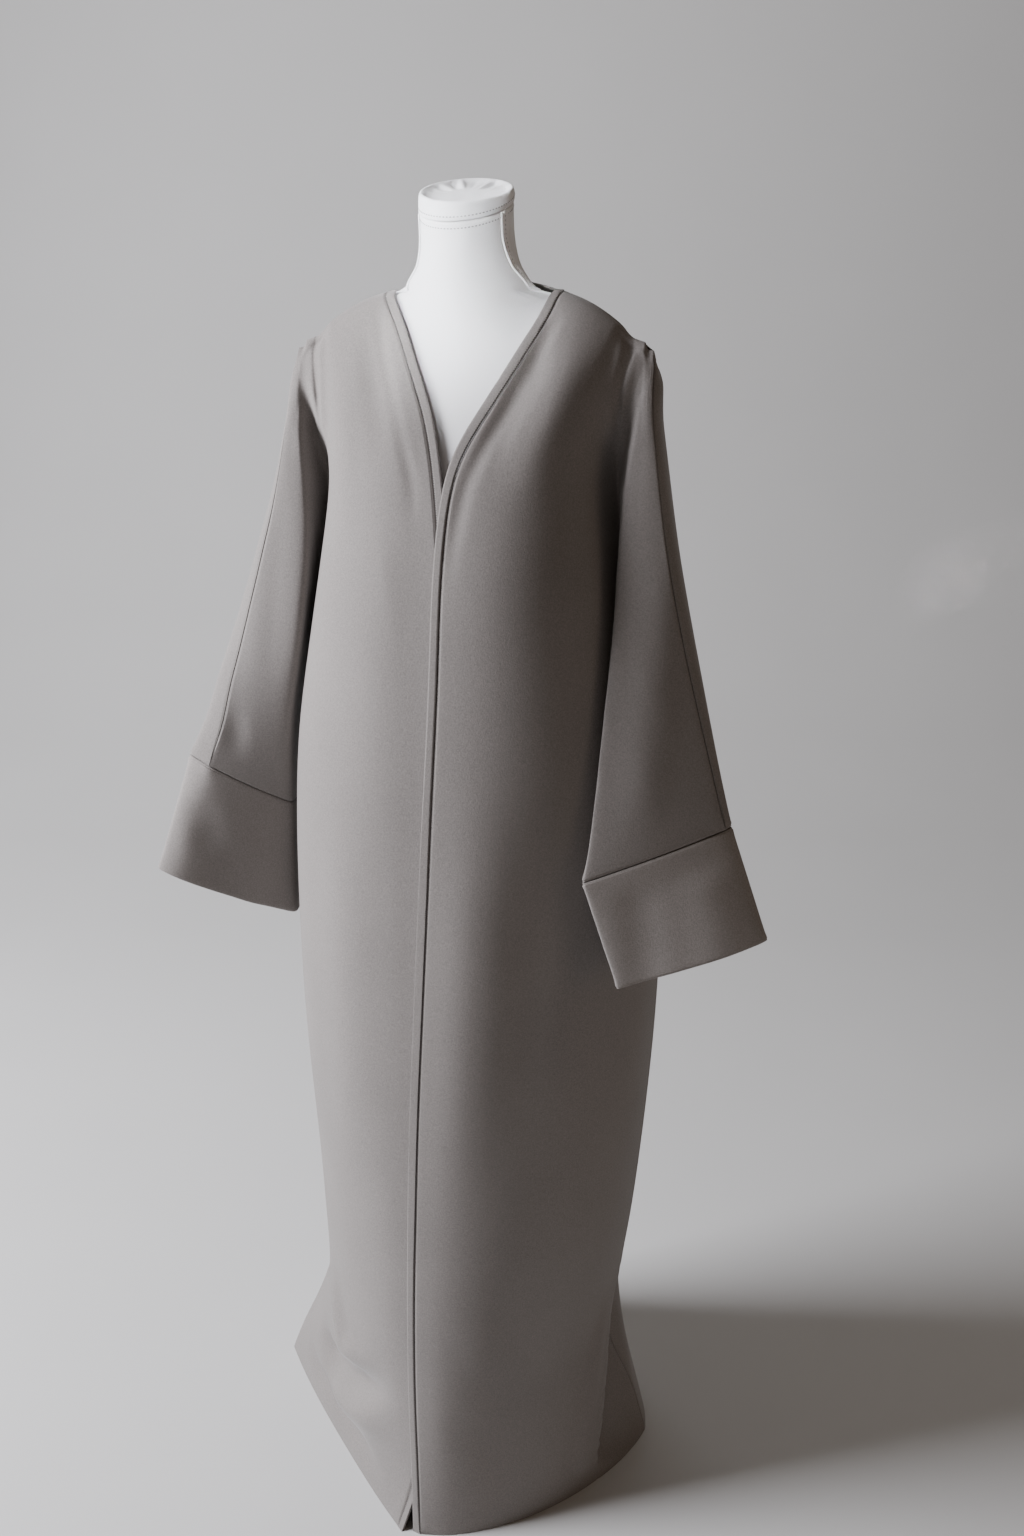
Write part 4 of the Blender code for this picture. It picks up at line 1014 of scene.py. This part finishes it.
def neck_tape(name, side):
    """One side's tape: a grid shot onto the neck, then thickened."""
    tape = bmesh.new()
    bmesh.ops.create_grid(tape, x_segments=4, y_segments=40, size=0.5)
    for vertex in tape.verts:
        spot, normal = tape_point(0.5 - vertex.co.y, vertex.co.x + 0.5, side)
        vertex.co = spot + normal * TAPE_LIFT
    tape.normal_update()
    bmesh.ops.recalc_face_normals(tape, faces=tape.faces)
    if sum(face.normal.x * side for face in tape.faces) < 0.0:
        bmesh.ops.reverse_faces(tape, faces=tape.faces)
    bmesh.ops.solidify(tape, geom=tape.faces[:], thickness=-TAPE_THICKNESS)
    piece = sewn_on(name, mesh_of(name, tape), white_tape)
    piece.data.set_sharp_from_angle(angle=TAPE_CORNER)
    return piece


def cord(name, points, radius, finish):
    """A thin sewn cord through the points, made a mesh."""
    path = bpy.data.curves.new(name, "CURVE")
    path.dimensions = "3D"
    path.bevel_depth = radius
    path.bevel_resolution = 2
    path.use_fill_caps = True
    spline = path.splines.new("POLY")
    spline.points.add(len(points) - 1)
    for point, place in zip(spline.points, points):
        point.co = (*place, 1.0)
    return sewn_on(name, settled(in_scene(name + "_path", path)), finish)


# %% [markdown]
# ## Set the tapes, cords and stitches
#
# The cord follows the tape's front edge and the stitches its middle.  Both are
# found like the tape's own points, so they can't leave it.

# %% Both sides of the neck
CORD_RADIUS, CORD_LIFT = 1.3 * MM, 0.8 * MM
TAPE_STITCH = 4.2 * MM, 2.6 * MM, 1.0 * MM  # spacing, length, thickness
STITCH_LIFT = 1.0 * MM


def down_tape(across, lift, side, steps=40):
    """Points down the tape at one share of its width, lifted off the neck."""
    hits = [tape_point(i / steps, across, side) for i in range(steps + 1)]
    return [spot + normal * lift for spot, normal in hits]


for side, sign in (("left", 1.0), ("right", -1.0)):
    tape = neck_tape("neck_tape_" + side, sign)
    cord("neck_cord_" + side, down_tape(0.0, CORD_LIFT, sign), CORD_RADIUS, white_tape)
    stitch_row("stitches_tape_" + side, down_tape(0.5, STITCH_LIFT, sign), surface_of(tape),
               *TAPE_STITCH, cotton_painted_shade)
    print(side, "tape made")

# %% [markdown]
# ## The neck's stance
#
# The neck is a little slimmer than its solid and stands towards the wearer's
# right.  Moving whole pieces would leave a step at its foot, so everything
# sewn to it is moved by one rule that fades in, and nothing parts.

# %% Slim and shift the neck
NECK_SLIM = 0.94
NECK_SHIFT = -5.0 * MM
NECK_FOOT, NECK_BLEND = 1.405, 0.05  # metres: where it starts, and over what height
ON_NECK = ("form_cover", "form_cap", "neck_", "stitches_cap", "stitches_tape")
for piece in bpy.context.scene.objects:
    if piece.name.startswith(ON_NECK):
        for vertex in piece.data.vertices:
            share = float(fade((vertex.co.z - NECK_FOOT) / NECK_BLEND))
            vertex.co.x += ((NECK_SLIM - 1.0) * vertex.co.x + NECK_SHIFT) * share
        print(piece.name, "moved")

# %% [markdown]
# ## What each sheet was cut to
#
# A garment is cut flat. A tube such as a cuff counts all round.

SHEETS = {  # node: (cut width, cut length, area or None, how held, what it rests on)
    "front_left": (0.78, 1.50, 0.66, "hung", ["form_cover"]),
    "front_right": (0.80, 1.50, 0.68, "hung", ["form_cover"]),
    "back": (1.56, 1.50, 1.25, "hung", ["form_cover"]),
    "cuff_left": (0.44, 0.125, None, "hung", ["worn_front_left"]),
    "cuff_right": (0.46, 0.135, None, "hung", ["worn_front_right"]),
    "band_left": (0.0105, 1.52, None, "hung", ["worn_front_left"]),
    "band_right": (0.0105, 1.52, None, "hung", ["worn_front_right"]),
    "band_back_neck": (0.0105, 0.22, None, "hung", ["worn_back"]),
}
for node, (width, length, area, held, rests_on) in SHEETS.items():
    print(node, "shows", width, "by", length, "m of its cut")

# %% [markdown]
# ## Floor and backdrop
#
# A plain pale floor sweeps up into a backdrop.  Two planes would meet in a
# line, so it is one profile, extruded sideways and turned to the camera.

# %% Floor and backdrop
VIEW_TURN = math.radians(17.0)  # the camera stands this far round
SWEEP_WIDTH = 18.0  # metres
SWEEP = ((-9.0, 0.0), (1.5, 0.0), (1.95, 0.04), (2.35, 0.2), (2.65, 0.5), (2.8, 0.9),
         (2.85, 1.4), (2.85, 7.0))  # y and z of the profile, in metres
sweep = bmesh.new()
points = [sweep.verts.new((-0.5 * SWEEP_WIDTH, y, z)) for y, z in SWEEP]
for pair in zip(points, points[1:]):
    sweep.edges.new(pair)
pulled = bmesh.ops.extrude_edge_only(sweep, edges=sweep.edges[:])
new_points = [item for item in pulled["geom"] if isinstance(item, bmesh.types.BMVert)]
bmesh.ops.translate(sweep, vec=(SWEEP_WIDTH, 0.0, 0.0), verts=new_points)
bmesh.ops.rotate(sweep, cent=(0, 0, 0), verts=sweep.verts,
                 matrix=Matrix.Rotation(VIEW_TURN, 3, "Z"))
bmesh.ops.recalc_face_normals(sweep, faces=sweep.faces)
if sum(face.normal.z for face in sweep.faces) < 0.0:
    bmesh.ops.reverse_faces(sweep, faces=sweep.faces)
floor = in_scene("studio_sweep", mesh_of("studio_sweep", sweep))
floor.data.shade_smooth()
put_on(floor, two_tone("studio_paper", 3.0, 2.0, (0.53, 0.53, 0.525, 1.0),
                       (0.56, 0.56, 0.555, 1.0), Roughness=0.75))
print("floor", SWEEP_WIDTH, "m wide")

# %% [markdown]
# ## Light
#
# The light comes from a tall soft window at the wearer's right, hardly in
# front of the cloak, so that the chest shades the hollow beside the far
# sleeve.  A lamp straight ahead would flatten the folds.  A small one lights
# the white neck, a weak warm one the hollows, and one overhead the backdrop.

# %% Window, neck, fill and backdrop lamps
WARM = (1.0, 0.78, 0.60)
GLOOM = 0.085  # strength of the light from all round


def soft_light(name, place, aim, width, height, watts, colour, spread=180.0):
    lamp = bpy.data.lights.new(name, "AREA")
    lamp.spread = math.radians(spread)
    lamp.shape = "RECTANGLE"
    lamp.size, lamp.size_y = width, height
    lamp.energy = watts
    lamp.color = colour
    light = in_scene(name, lamp)
    light.location = place
    light.rotation_euler = (Vector(aim) - Vector(place)).to_track_quat("-Z", "Y").to_euler()
    print(name, "lamp:", watts, "W")


soft_light("window", (-2.34, -1.0, 2.15), (0.0, 0.0, 1.0), 1.1, 1.6, 255.0, (0.95, 0.95, 1.0))
soft_light("neck", (-0.35, -1.45, 1.9), (-0.01, -0.02, 1.45), 0.15, 0.2, 0.24,
           (0.94, 0.96, 1.0), 6.0)
soft_light("fill", (2.4, -0.5, 1.1), (0.0, 0.0, 0.9), 1.0, 1.6, 4.5, WARM)
soft_light("backdrop", (-0.6, 1.2, 4.2), (-0.3, 2.8, 1.2), 3.0, 0.8, 17.0, (1.0, 0.99, 0.97))
world = bpy.data.worlds.new("studio")
world.use_nodes = True
background = world.node_tree.nodes["Background"]
background.inputs["Color"].default_value = (*WARM, 1.0)
background.inputs["Strength"].default_value = GLOOM
bpy.context.scene.world = world

# %% [markdown]
# ## Camera
#
# The camera stands a little to the wearer's left, as high as the neck, and looks
# down, so the hem shows as a curve.  A longer lens would flatten it.

# %% Camera
view = bpy.data.cameras.new("view")
view.sensor_width = 36.0
view.lens = 31.35
view.clip_end = 60.0
camera = in_scene("view", view)
camera.location = (0.470, -1.405, 1.438)
camera.rotation_euler = (math.radians(70.81), 0.0, VIEW_TURN)
bpy.context.scene.camera = camera
print("camera lens", view.lens, "mm")
